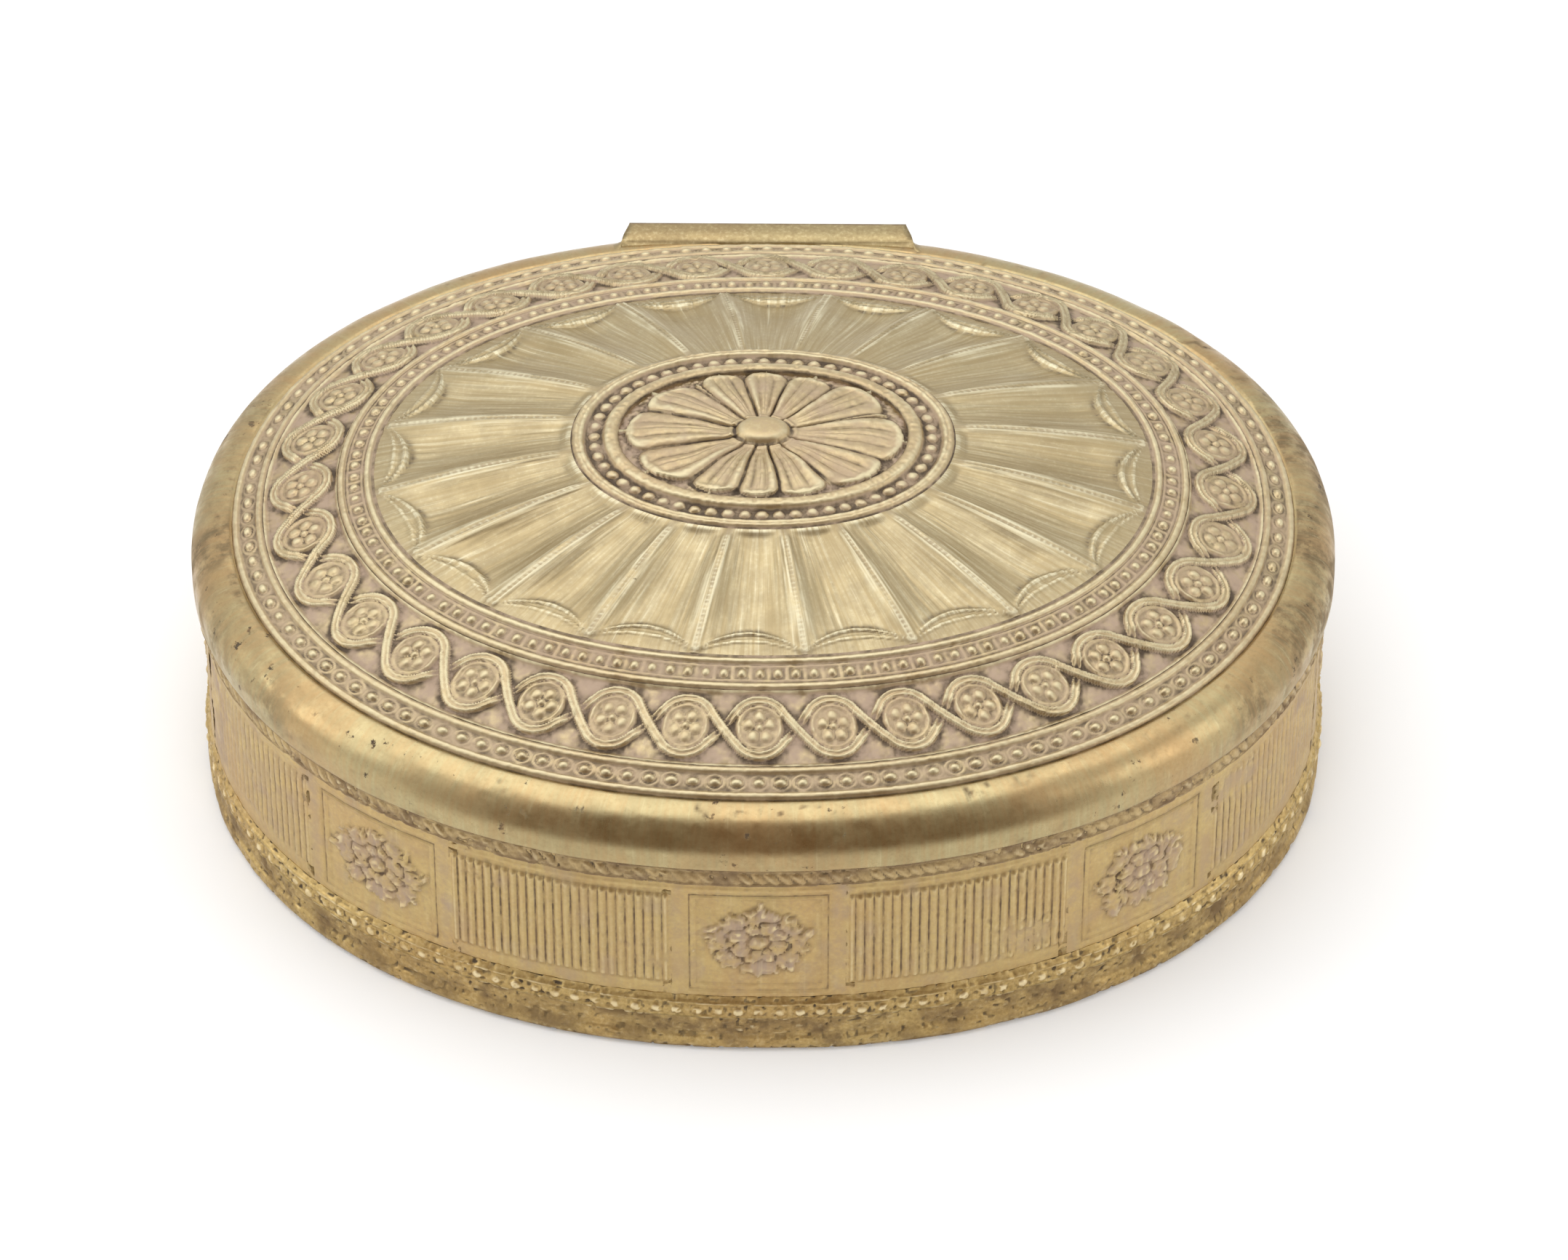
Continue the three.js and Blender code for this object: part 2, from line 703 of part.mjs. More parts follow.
// A bar along X with the given outline in Y and Z.
function bar(outline, from, to) {
  const shape = new THREE.Shape(outline.map(([y, z]) => new THREE.Vector2(y, z)));
  const g = new THREE.ExtrudeGeometry(shape, { depth: to - from, bevelEnabled: false });
  g.applyMatrix4(new THREE.Matrix4().set(0, 0, 1, from, 1, 0, 0, 0, 0, 1, 0, 0, 0, 0, 0, 1));
  return solid(g);
}

function rod(radius, from, to) {
  const g = new THREE.CylinderGeometry(radius, radius, to - from, KNUCKLE_STEPS);
  g.rotateZ(Math.PI / 2);
  g.translate((from + to) / 2, AXIS_Y, AXIS_Z);
  return solid(g);
}

// Where each knuckle of the hinge starts and ends, from the left.
function knuckleSpans() {
  const width = (HINGE_WIDTH - (KNUCKLES - 1) * KNUCKLE_GAP) / KNUCKLES;
  return Array.from({ length: KNUCKLES }, (_, i) => {
    const from = -HINGE_WIDTH / 2 + i * (width + KNUCKLE_GAP);
    return [from, from + width];
  });
}

const BORE_RADIUS = PIN_RADIUS + FIT;

function withKnuckles(leaf, first, tongue) {
  let made = leaf;
  for (const [i, [from, to]] of knuckleSpans().entries()) {
    if (i % 2 !== first) continue;
    made = made.add(bar(tongue, from, to)).add(rod(KNUCKLE_RADIUS, from, to));
  }
  return made.subtract(rod(BORE_RADIUS, -HINGE_WIDTH, HINGE_WIDTH));
}

// Upper leaf: a flat plate on the back of the rim that turns down to two knuckles.
function lidHingeLeaf() {
  const plateZ = RIM_TOP_Z + HINGE_PLATE_RISE;
  const frontY = HALF_WIDTH - RIM_ROUND;
  const plateBackY = frontY + HINGE_PLATE_DEPTH;
  const webBackY = HALF_WIDTH + FIT + LEAF_THICKNESS;
  const webLowZ = AXIS_Z + KNUCKLE_RADIUS + WEB_CLEARANCE;
  const reach = webBackY - plateBackY;
  const tongueY = HALF_WIDTH + FIT + 0.05;
  const block = bar(
    [
      [frontY, ROUND_CENTRE_Z],
      [webBackY - LEAF_ROOT, webLowZ],
      [webBackY, webLowZ],
      [webBackY, plateZ - WEB_STEEPNESS * reach],
      [plateBackY, plateZ],
      [frontY, plateZ],
    ],
    -HINGE_PLATE_WIDTH / 2,
    HINGE_PLATE_WIDTH / 2,
  );
  const rimOuter = [
    [0, SEAM_Z - 2],
    ...quarter(RIM_ROUND, ROUND_CENTRE_Z, RIM_ROUND, ROUND_STEPS),
  ];
  const leaf = block.subtract(envelope(raised(rimOuter, SOLDER_GAP), SOLDER_GAP));
  const tongue = [
    [tongueY, AXIS_Z + TONGUE_OVERLAP],
    [AXIS_Y, AXIS_Z + TONGUE_OVERLAP],
    [AXIS_Y, AXIS_Z + KNUCKLE_RADIUS - 0.2],
    [webBackY - 0.1, webLowZ + TONGUE_OVERLAP],
    [tongueY, webLowZ + TONGUE_OVERLAP],
  ];
  return geometryOf(withKnuckles(slantEnds(leaf, frontY), 1, tongue));
}

// Lifts the upper points of a section, so that a gap is kept above as well as outside.
function raised(section, gap) {
  return section.map(([inset, z]) => [inset, z + gap]);
}

// Trims the plate's ends in plan, so that it narrows towards the back.
function slantEnds(leaf, frontY) {
  const half = HINGE_PLATE_WIDTH / 2;
  const narrow = HINGE_WIDTH / 2;
  const outline = [
    [-half, frontY - 1],
    [half, frontY - 1],
    [half, frontY + PLATE_END_STRAIGHT],
    [narrow, frontY + HINGE_PLATE_DEPTH],
    [narrow, AXIS_Y + 2 * KNUCKLE_RADIUS],
    [-narrow, AXIS_Y + 2 * KNUCKLE_RADIUS],
    [-narrow, frontY + HINGE_PLATE_DEPTH],
    [-half, frontY + PLATE_END_STRAIGHT],
  ];
  const shape = new THREE.Shape(outline.map(([x, y]) => new THREE.Vector2(x, y)));
  const g = new THREE.ExtrudeGeometry(shape, { depth: CROWN_Z, bevelEnabled: false });
  return leaf.intersect(solid(g));
}

// Lower leaf: a plate on the back of the wall with three knuckles.
function bodyHingeLeaf() {
  const backY = HALF_WIDTH + FIT + LEAF_THICKNESS / 2;
  const topZ = AXIS_Z - KNUCKLE_RADIUS;
  const lowZ = topZ - BODY_LEAF_DROP;
  const block = bar(
    [
      [HALF_WIDTH - LEAF_ROOT, lowZ],
      [backY - LEAF_EDGE, lowZ],
      [backY, lowZ + LEAF_EDGE],
      [backY, topZ],
      [HALF_WIDTH - LEAF_ROOT, topZ],
    ],
    -HINGE_WIDTH / 2,
    HINGE_WIDTH / 2,
  );
  const proud = WALL_INSET - PANEL_FLOWER_PROUD;
  const wallOuter = [
    [proud, lowZ - 1],
    [proud, WALL_TOP_Z],
  ];
  const leaf = block.subtract(envelope(wallOuter, SOLDER_GAP));
  const tongue = [
    [backY - TONGUE_THICKNESS, topZ - TONGUE_OVERLAP],
    [backY, topZ - TONGUE_OVERLAP],
    [AXIS_Y, AXIS_Z - KNUCKLE_RADIUS + 0.1],
    [AXIS_Y, AXIS_Z - TONGUE_OVERLAP],
    [backY - TONGUE_THICKNESS, AXIS_Z - TONGUE_OVERLAP],
  ];
  return geometryOf(withKnuckles(leaf, 0, tongue));
}

// Pin with a small head at each end.
function hingePin() {
  const half = HINGE_WIDTH / 2 + FIT;
  const profile = [
    [0, -half - PIN_HEAD_LENGTH],
    [PIN_HEAD_RADIUS * 0.7, -half - PIN_HEAD_LENGTH],
    [PIN_HEAD_RADIUS, -half - PIN_HEAD_LENGTH * 0.5],
    [PIN_HEAD_RADIUS, -half],
    [PIN_RADIUS, -half],
    [PIN_RADIUS, half],
    [PIN_HEAD_RADIUS, half],
    [PIN_HEAD_RADIUS, half + PIN_HEAD_LENGTH * 0.5],
    [PIN_HEAD_RADIUS * 0.7, half + PIN_HEAD_LENGTH],
    [0, half + PIN_HEAD_LENGTH],
  ];
  const points = profile.map(([r, along]) => new THREE.Vector2(r, along));
  const g = new THREE.LatheGeometry(points, KNUCKLE_STEPS);
  g.rotateZ(Math.PI / 2);
  g.translate(0, AXIS_Y, AXIS_Z);
  return g;
}

function piece(name, geometry, finish) {
  const mesh = new THREE.Mesh(geometry, new THREE.MeshStandardMaterial(finish));
  mesh.name = name;
  return mesh;
}

const body = new THREE.Group();
body.add(
  piece("base_plate", basePlate(), BRASS),
  piece("base_moulding", baseMoulding(), PATINA),
  piece("body_wall", bodyWall(), PATINA),
  piece("inner_collar", innerCollar(), BRASS),
  piece("body_hinge_leaf", bodyHingeLeaf(), BRASS),
  piece("hinge_pin", hingePin(), STEEL),
);

const lid = new THREE.Group();
lid.add(
  piece("lid_rim", lidRim(), BRASS),
  piece("lid_edge_moulding", lidEdgeMoulding(), PATINA),
  piece("lid_plaque", lidPlaque(), PATINA),
  piece("lid_hinge_leaf", lidHingeLeaf(), BRASS),
);

const box = new THREE.Group();
box.add(body, lid);

export default box;
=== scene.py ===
"""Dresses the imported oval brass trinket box: stamped relief, gilt and patina, floor, lamps and camera.

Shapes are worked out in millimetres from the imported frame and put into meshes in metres. Every ornament
is a height over a plain base surface: the domed plaque, the rolled rim, the upright wall or the foot.
A place on the box is given by its turn, the share of the way round from the front towards the right end,
and by a second length: a half length of the lid's oval, or a distance along a section.
"""

import json
import logging
import math
from collections.abc import Callable
from dataclasses import dataclass, field
from enum import Enum

import bpy
import numpy as np
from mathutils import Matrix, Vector

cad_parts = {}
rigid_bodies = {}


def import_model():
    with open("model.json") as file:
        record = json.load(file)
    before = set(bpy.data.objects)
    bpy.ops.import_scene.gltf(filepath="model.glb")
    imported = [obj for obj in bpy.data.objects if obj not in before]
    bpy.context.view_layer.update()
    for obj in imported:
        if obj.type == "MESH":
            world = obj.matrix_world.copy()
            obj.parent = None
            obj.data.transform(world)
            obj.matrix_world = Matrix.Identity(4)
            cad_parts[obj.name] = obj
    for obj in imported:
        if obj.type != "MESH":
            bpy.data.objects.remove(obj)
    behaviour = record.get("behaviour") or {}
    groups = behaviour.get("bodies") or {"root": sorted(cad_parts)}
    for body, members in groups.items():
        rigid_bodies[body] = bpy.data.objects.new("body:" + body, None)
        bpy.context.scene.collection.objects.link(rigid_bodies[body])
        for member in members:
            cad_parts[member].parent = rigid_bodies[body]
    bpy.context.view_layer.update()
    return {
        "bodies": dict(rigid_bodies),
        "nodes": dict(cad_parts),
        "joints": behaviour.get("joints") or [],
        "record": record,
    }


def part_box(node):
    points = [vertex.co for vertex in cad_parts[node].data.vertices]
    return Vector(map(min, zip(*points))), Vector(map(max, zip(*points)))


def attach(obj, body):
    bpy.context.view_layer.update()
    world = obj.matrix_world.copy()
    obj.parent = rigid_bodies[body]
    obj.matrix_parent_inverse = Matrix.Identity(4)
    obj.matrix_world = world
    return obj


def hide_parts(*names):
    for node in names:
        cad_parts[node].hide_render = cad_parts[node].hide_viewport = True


LOG = logging.getLogger("trinket_box")

Array = np.ndarray
Colour = tuple[float, float, float, float]

MM = 0.001
FRAME_PIXELS = (2156, 1733)

# Lattice cells of the finer grains, which go round the box without coming back to where they began
FINE = 1024


# Small shapes that the ornament is put together from


def smoothstep(value: Array, low: float, high: float) -> Array:
    """Rises from 0 at low to 1 at high as t squared times three minus two t.

    Args:
        value: Where to work it out.
        low: Value at which the rise starts.
        high: Value at which it ends.

    Returns:
        The share risen, between 0 and 1.
    """
    share = np.clip((value - low) / (high - low), 0.0, 1.0)
    return share * share * (3.0 - 2.0 * share)


def bead(distance: Array, height: float | Array) -> Array:
    """Half round: height times the square root of one minus distance squared, nothing past 1."""
    return height * np.sqrt(np.clip(1.0 - distance * distance, 0.0, 1.0))


def pillow(distance: Array, height: float | Array, power: float = 4.0) -> Array:
    """Flat-topped swelling: height times one minus distance to the power, nothing past 1."""
    return height * np.clip(1.0 - np.abs(distance) ** power, 0.0, 1.0)


def line(distance: Array, width: float, height: float) -> Array:
    """Thin raised line: height times e to the minus of distance over width, squared."""
    return height * np.exp(-((distance / width) ** 2))


def nearest(share: Array) -> Array:
    """Signed distance to the nearest whole number, from minus a half to a half."""
    return share - np.round(share)


@dataclass(frozen=True)
class Grain:
    """Smooth random heights on a lattice, the same each run.

    Scale gives the lattice cells to each unit of the two coordinates, and shift moves them all.
    """

    seed: int
    scale: tuple[float, float] = (1.0, 1.0)
    shift: float = 0.0
    cells: int = 256

    def __call__(self, x: Array, y: Array) -> Array:
        """Blends the four lattice values round each place by smooth shares.

        Args:
            x: First coordinate.
            y: Second coordinate.

        Returns:
            Values from minus 1 to 1.
        """
        x, y = x * self.scale[0] + self.shift, y * self.scale[1] + self.shift
        table = np.random.default_rng(self.seed).uniform(-1.0, 1.0, (self.cells, self.cells))
        x0, y0 = np.floor(x).astype(int), np.floor(y).astype(int)
        fx, fy = smoothstep(x - x0, 0.0, 1.0), smoothstep(y - y0, 0.0, 1.0)
        x0, y0 = x0 % self.cells, y0 % self.cells
        x1, y1 = (x0 + 1) % self.cells, (y0 + 1) % self.cells
        near = table[x0, y0] * (1 - fx) + table[x1, y0] * fx
        far = table[x0, y1] * (1 - fx) + table[x1, y1] * fx
        return near * (1 - fy) + far * fy


def each_one(index: Array, count: int, seed: int, low: float, high: float) -> Array:
    """A value of its own for each of a row of like ornaments.

    Args:
        index: Number of the ornament at each place.
        count: How many there are round the box.
        seed: Start of the random row.
        low: Least value.
        high: Greatest value.

    Returns:
        The value of the ornament at each place.
    """
    row = np.random.default_rng(seed).uniform(low, high, count)
    return row[np.round(index).astype(int) % count]


# The plan of the box


@dataclass
class Plan:
    """The family of ovals that every ring of the box lies on, in millimetres."""

    half_length: float
    half_width: float
    power: float = 2.1
    even_inset: float = 11.7
    button: tuple[float, float] = (3.1, 2.2)
    field_edge: tuple[float, float] = (15.0, 10.0)
    medallion: tuple[float, float] = (20.0, 14.1)
    flutes_inset: float = 19.7
    beyond: float = 20.0
    samples: int = 7201
    angles: Array = field(init=False)
    turns: Array = field(init=False)

    def __post_init__(self) -> None:
        """Measures the oval that the turns are even along."""
        self.angles = np.linspace(0.0, 2.0 * np.pi, self.samples)
        x, y = self.oval(self.angles, self.half_length - self.even_inset, self.half_width - self.even_inset)
        steps = np.hypot(np.diff(x), np.diff(y))
        self.turns = np.concatenate([[0.0], np.cumsum(steps)]) / steps.sum()

    def oval(self, angle: Array, half_length: Array | float,
             half_width: Array | float) -> tuple[Array, Array]:
        """Superellipse: each half size times sine or cosine to the power two over the oval's power.

        Args:
            angle: Angle from the front, in radians, growing towards the right end.
            half_length: Half size along X.
            half_width: Half size along Y.

        Returns:
            X and Y.
        """
        share = 2.0 / self.power
        across, along = np.sin(angle), -np.cos(angle)
        x = half_length * np.sign(across) * np.abs(across) ** share
        y = half_width * np.sign(along) * np.abs(along) ** share
        return x, y

    def half_width_at(self, half_length: Array) -> Array:
        """Half width that goes with a half length, straight between the known ovals and beyond."""
        flutes = (self.half_length - self.flutes_inset, self.half_width - self.flutes_inset)
        far = (self.half_length + self.beyond, self.half_width + self.beyond)
        known = [(0.0, 0.0), self.button, self.field_edge, self.medallion, flutes, far]
        lengths, widths = zip(*known)
        return np.interp(half_length, lengths, widths)

    def points(self, turn: Array, half_length: Array, z: Array) -> Array:
        """Places on the ovals.

        Args:
            turn: Share of the way round, any shape.
            half_length: Half length of the oval of each place.
            z: Height of each place.

        Returns:
            The same shape with X, Y and Z last.
        """
        angle = np.interp(turn % 1.0, self.turns, self.angles)
        x, y = self.oval(angle, half_length, self.half_width_at(half_length))
        return np.stack(np.broadcast_arrays(x, y, z), axis=-1)


# Surfaces


@dataclass
class Surface:
    """A closed skin of rows and columns of points, with what its finish needs to know of each point.

    Rows run across a section and columns round the box. The last column joins the first. Where cap is
    set, the first and the last row close on a point each, and otherwise the last row joins the first.
    """

    points: Array
    height: Array
    worn: Array
    sharp_rows: tuple[int, ...] = ()
    cap: bool = False


@dataclass
class Place:
    """Where an ornament is asked for: turn, length of a whole turn there, and the point itself."""

    turn: Array
    around: Array
    base: Array

    def along(self, count: int, offset: float = 0.0) -> tuple[Array, Array]:
        """Distance along the ring to the nearest of a number of even marks.

        Args:
            count: How many marks there are round the box.
            offset: Shift of the marks, in marks.

        Returns:
            The distance in millimetres and the mark's number.
        """
        phase = self.turn * count - offset
        return nearest(phase) * self.around / count, np.round(phase)


@dataclass
class Spot(Place):
    """A place on the plaque, with the half length of its oval."""

    half: Array

    def wear(self, size: float, seed: int) -> Array:
        """Unevenness of the sheet, with lattice cells of the given size in millimetres."""
        clear = 80.0
        return Grain(seed)(self.base[..., 0] / size + clear, self.base[..., 1] / size + clear)

    def rough(self, seed: int) -> Array:
        """Unevenness that years of rubbing leave on small ornament, coarse and fine together."""
        return 0.025 * self.wear(1.1, seed) + 0.03 * self.wear(0.38, seed + 200)


@dataclass
class SideSpot(Place):
    """A place on a hoop, with the distance travelled along the section."""

    travel: Array

    @property
    def z(self) -> Array:
        """Height of the place."""
        return self.base[..., 2]


def local_scale(points: Array, columns: int) -> Array:
    """Length of a whole turn at each point, from the distance between the columns on either side."""
    ahead = np.roll(points, -1, axis=1) - np.roll(points, 1, axis=1)
    return np.linalg.norm(ahead, axis=-1) * columns / 2.0


def normals_of(points: Array) -> Array:
    """Unit normals of a grid, as the cross product of its column and row directions."""
    along = np.roll(points, -1, axis=1) - np.roll(points, 1, axis=1)
    across = np.gradient(points, axis=0)
    normal = np.cross(along, across)
    return normal / np.maximum(np.linalg.norm(normal, axis=-1, keepdims=True), 1e-12)


def blurred(height: Array, rows_mm: float, columns_mm: float, radius_mm: float) -> Array:
    """Gaussian blur of a grid of heights, as a product in the frequency plane.

    Args:
        height: Heights by row and column.
        rows_mm: Distance between rows.
        columns_mm: Distance between columns.
        radius_mm: Radius of the blur.

    Returns:
        The blurred heights.
    """
    pad = min(height.shape[0] - 1, int(3 * radius_mm / rows_mm) + 1)
    padded = np.pad(height, ((pad, pad), (0, 0)), mode="reflect")
    fr = np.fft.fftfreq(padded.shape[0], rows_mm)[:, None]
    fc = np.fft.rfftfreq(padded.shape[1], columns_mm)[None, :]
    gauss = np.exp(-2.0 * (np.pi * radius_mm) ** 2 * (fr * fr + fc * fc))
    out = np.fft.irfft2(np.fft.rfft2(padded) * gauss, s=padded.shape)
    return out[pad : pad + height.shape[0]]


def add_mesh(name: str, surface: Surface, material: bpy.types.Material) -> bpy.types.Object:
    """Puts a surface into a mesh object, in metres.

    Each point keeps how far it stands above or below its surroundings in the attribute relief, and how
    much patina it carries in the attribute patina. UVs run round the box and across the section.

    Args:
        name: Name of the piece.
        surface: What to build.
        material: Its finish.

    Returns:
        The object, linked to the scene.
    """
    rows, columns = surface.points.shape[:2]
    index = np.arange(rows * columns).reshape(rows, columns)
    following = np.roll(index, -1, axis=1)
    last = rows if not surface.cap else rows - 1
    below, above = index[:last], np.roll(index, -1, axis=0)[:last]
    below_next, above_next = following[:last], np.roll(following, -1, axis=0)[:last]
    quads = np.stack([below, below_next, above_next, above], axis=-1).reshape(-1, 4)
    coordinates = surface.points.reshape(-1, 3)
    relief, worn = surface.height.ravel(), surface.worn.ravel()

    u = np.arange(columns) / columns
    v = np.arange(rows) / rows
    u_low, v_low = np.broadcast_arrays(u[None, :], v[:last, None])
    u_high, v_high = u_low + 1.0 / columns, v_low + 1.0 / rows
    corners = [u_low, v_low, u_high, v_low, u_high, v_high, u_low, v_high]
    uvs = np.stack(corners, axis=-1).reshape(-1, 2)

    faces_starts = np.arange(len(quads)) * 4
    loops = quads.ravel()
    if surface.cap:
        ends = surface.points[[0, -1]].mean(axis=1)
        coordinates = np.vstack([coordinates, ends])
        relief = np.append(relief, [surface.height[0].mean(), surface.height[-1].mean()])
        worn = np.append(worn, [surface.worn[0].mean(), surface.worn[-1].mean()])
        first, final = rows * columns, rows * columns + 1
        low_fan = np.stack([np.full(columns, first), following[0], index[0]], axis=-1)
        high_fan = np.stack([np.full(columns, final), index[-1], following[-1]], axis=-1)
        fans = np.vstack([low_fan, high_fan])
        faces_starts = np.append(faces_starts, len(loops) + np.arange(len(fans)) * 3)
        loops = np.append(loops, fans.ravel())
        low_uv = np.stack([u, 0 * u, u + 1 / columns, 0 * u, u, 0 * u], axis=-1)
        high_uv = np.stack([u, 0 * u + 1, u, 0 * u + 1, u + 1 / columns, 0 * u + 1], axis=-1)
        uvs = np.vstack([uvs, low_uv.reshape(-1, 2), high_uv.reshape(-1, 2)])

    mesh = bpy.data.meshes.new(name)
    mesh.vertices.add(len(coordinates))
    mesh.vertices.foreach_set("co", (coordinates * MM).ravel().astype(np.float32))
    mesh.loops.add(len(loops))
    mesh.loops.foreach_set("vertex_index", loops.astype(np.int32))
    mesh.polygons.add(len(faces_starts))
    mesh.polygons.foreach_set("loop_start", faces_starts.astype(np.int32))
    mesh.polygons.foreach_set("use_smooth", np.ones(len(faces_starts), bool))
    mesh.update(calc_edges=True)
    mesh.uv_layers.new(name="UVMap").uv.foreach_set("vector", uvs.ravel().astype(np.float32))
    for label, values in (("relief", relief), ("patina", worn)):
        attribute = mesh.attributes.new(label, "FLOAT", "POINT")
        attribute.data.foreach_set("value", values.astype(np.float32))
    mark_sharp(mesh, surface.sharp_rows, columns)
    mesh.materials.append(material)
    item = bpy.data.objects.new(name, mesh)
    bpy.context.scene.collection.objects.link(item)
    return item


def dress(name: str, surface: Surface, material: bpy.types.Material, node: str,
          body: str) -> bpy.types.Object:
    """Adds a piece and tells the frame what it stands for.

    Args:
        name: Name of the piece.
        surface: Its shape.
        material: Its finish.
        node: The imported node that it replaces.
        body: The body that it rides on.

    Returns:
        The piece.
    """
    piece = add_mesh(name, surface, material)
    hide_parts(node)
    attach(piece, body)
    return piece


def mark_sharp(mesh: bpy.types.Mesh, rows: tuple[int, ...], columns: int) -> None:
    """Marks the edges that run along the given rows as sharp.

    Args:
        mesh: Mesh whose vertices are numbered row by row.
        rows: Rows that are creases.
        columns: Points in a row.
    """
    if not rows:
        return
    ends = np.zeros(len(mesh.edges) * 2, np.int32)
    mesh.edges.foreach_get("vertices", ends)
    row = ends.reshape(-1, 2) // columns
    sharp = (row[:, 0] == row[:, 1]) & np.isin(row[:, 0], rows)
    mesh.attributes.new("sharp_edge", "BOOLEAN", "EDGE").data.foreach_set("value", sharp)


# Finishes


class Graph:
    """Short names for the shader nodes that the finishes use."""

    def __init__(self, name: str) -> None:
        """Makes an empty material with its surface shader.

        Args:
            name: Name of the material.
        """
        self.material = bpy.data.materials.new(name)
        self.material.use_nodes = True
        self.tree = self.material.node_tree
        self.shader = self.tree.nodes["Principled BSDF"]

    def feed(self, socket: bpy.types.NodeSocket, value: object) -> None:
        """Links a socket to the socket that feeds it, or gives it a plain value."""
        if isinstance(value, bpy.types.NodeSocket):
            self.tree.links.new(value, socket)
        else:
            socket.default_value = value

    def node(self, kind: str, inputs: dict[str | int, object] | None = None,
             **settings: object) -> bpy.types.Node:
        """Adds a node, sets its properties and gives its sockets a value or a link.

        Args:
            kind: Blender's name of the node.
            inputs: Socket to value, or to the socket that feeds it.
            settings: Properties of the node.

        Returns:
            The node.
        """
        made = self.tree.nodes.new(kind)
        for key, value in settings.items():
            setattr(made, key, value)
        for key, value in (inputs or {}).items():
            self.feed(made.inputs[key], value)
        return made

    def attribute(self, name: str) -> bpy.types.NodeSocket:
        """The value of a point attribute."""
        return self.node("ShaderNodeAttribute", attribute_name=name).outputs["Fac"]

    def place(self) -> bpy.types.NodeSocket:
        """Object coordinates, in metres."""
        return self.node("ShaderNodeTexCoord").outputs["Object"]

    def along_surface(self, around: float, across: float) -> bpy.types.NodeSocket:
        """The piece's own UVs, stretched to a number of cells each way."""
        uv = self.node("ShaderNodeTexCoord").outputs["UV"]
        scale = (around, across, 1.0)
        return self.node("ShaderNodeMapping", {"Vector": uv, "Scale": scale}).outputs["Vector"]

    def noise(self, where: bpy.types.NodeSocket, scale: float, detail: float = 3.0,
              rough: float = 0.55) -> bpy.types.NodeSocket:
        """Noise of the given cells to a unit of the coordinates."""
        inputs = {"Vector": where, "Scale": scale, "Detail": detail, "Roughness": rough}
        return self.node("ShaderNodeTexNoise", inputs).outputs["Fac"]

    def rise(self, value: bpy.types.NodeSocket, low: float, high: float) -> bpy.types.NodeSocket:
        """Goes smoothly from 0 at low to 1 at high, either way round."""
        inputs = {"Value": value, "From Min": low, "From Max": high}
        made = self.node("ShaderNodeMapRange", inputs, interpolation_type="SMOOTHSTEP")
        return made.outputs["Result"]

    def math(self, operation: str, first: object, second: object) -> bpy.types.NodeSocket:
        """One sum of two values."""
        made = self.node("ShaderNodeMath", {0: first, 1: second}, operation=operation)
        return made.outputs["Value"]

    def mix(self, share: object, first: object, second: object) -> bpy.types.NodeSocket:
        """Mixes two colours: socket 0 is the share, and 6 and 7 are the colours."""
        return self.node("ShaderNodeMix", {0: share, 6: first, 7: second}, data_type="RGBA").outputs[2]


class Streaks(Enum):
    """Which way the marks of brushing, with the painted highlights along them, run on a piece."""

    NONE = "none"
    ACROSS = "across"


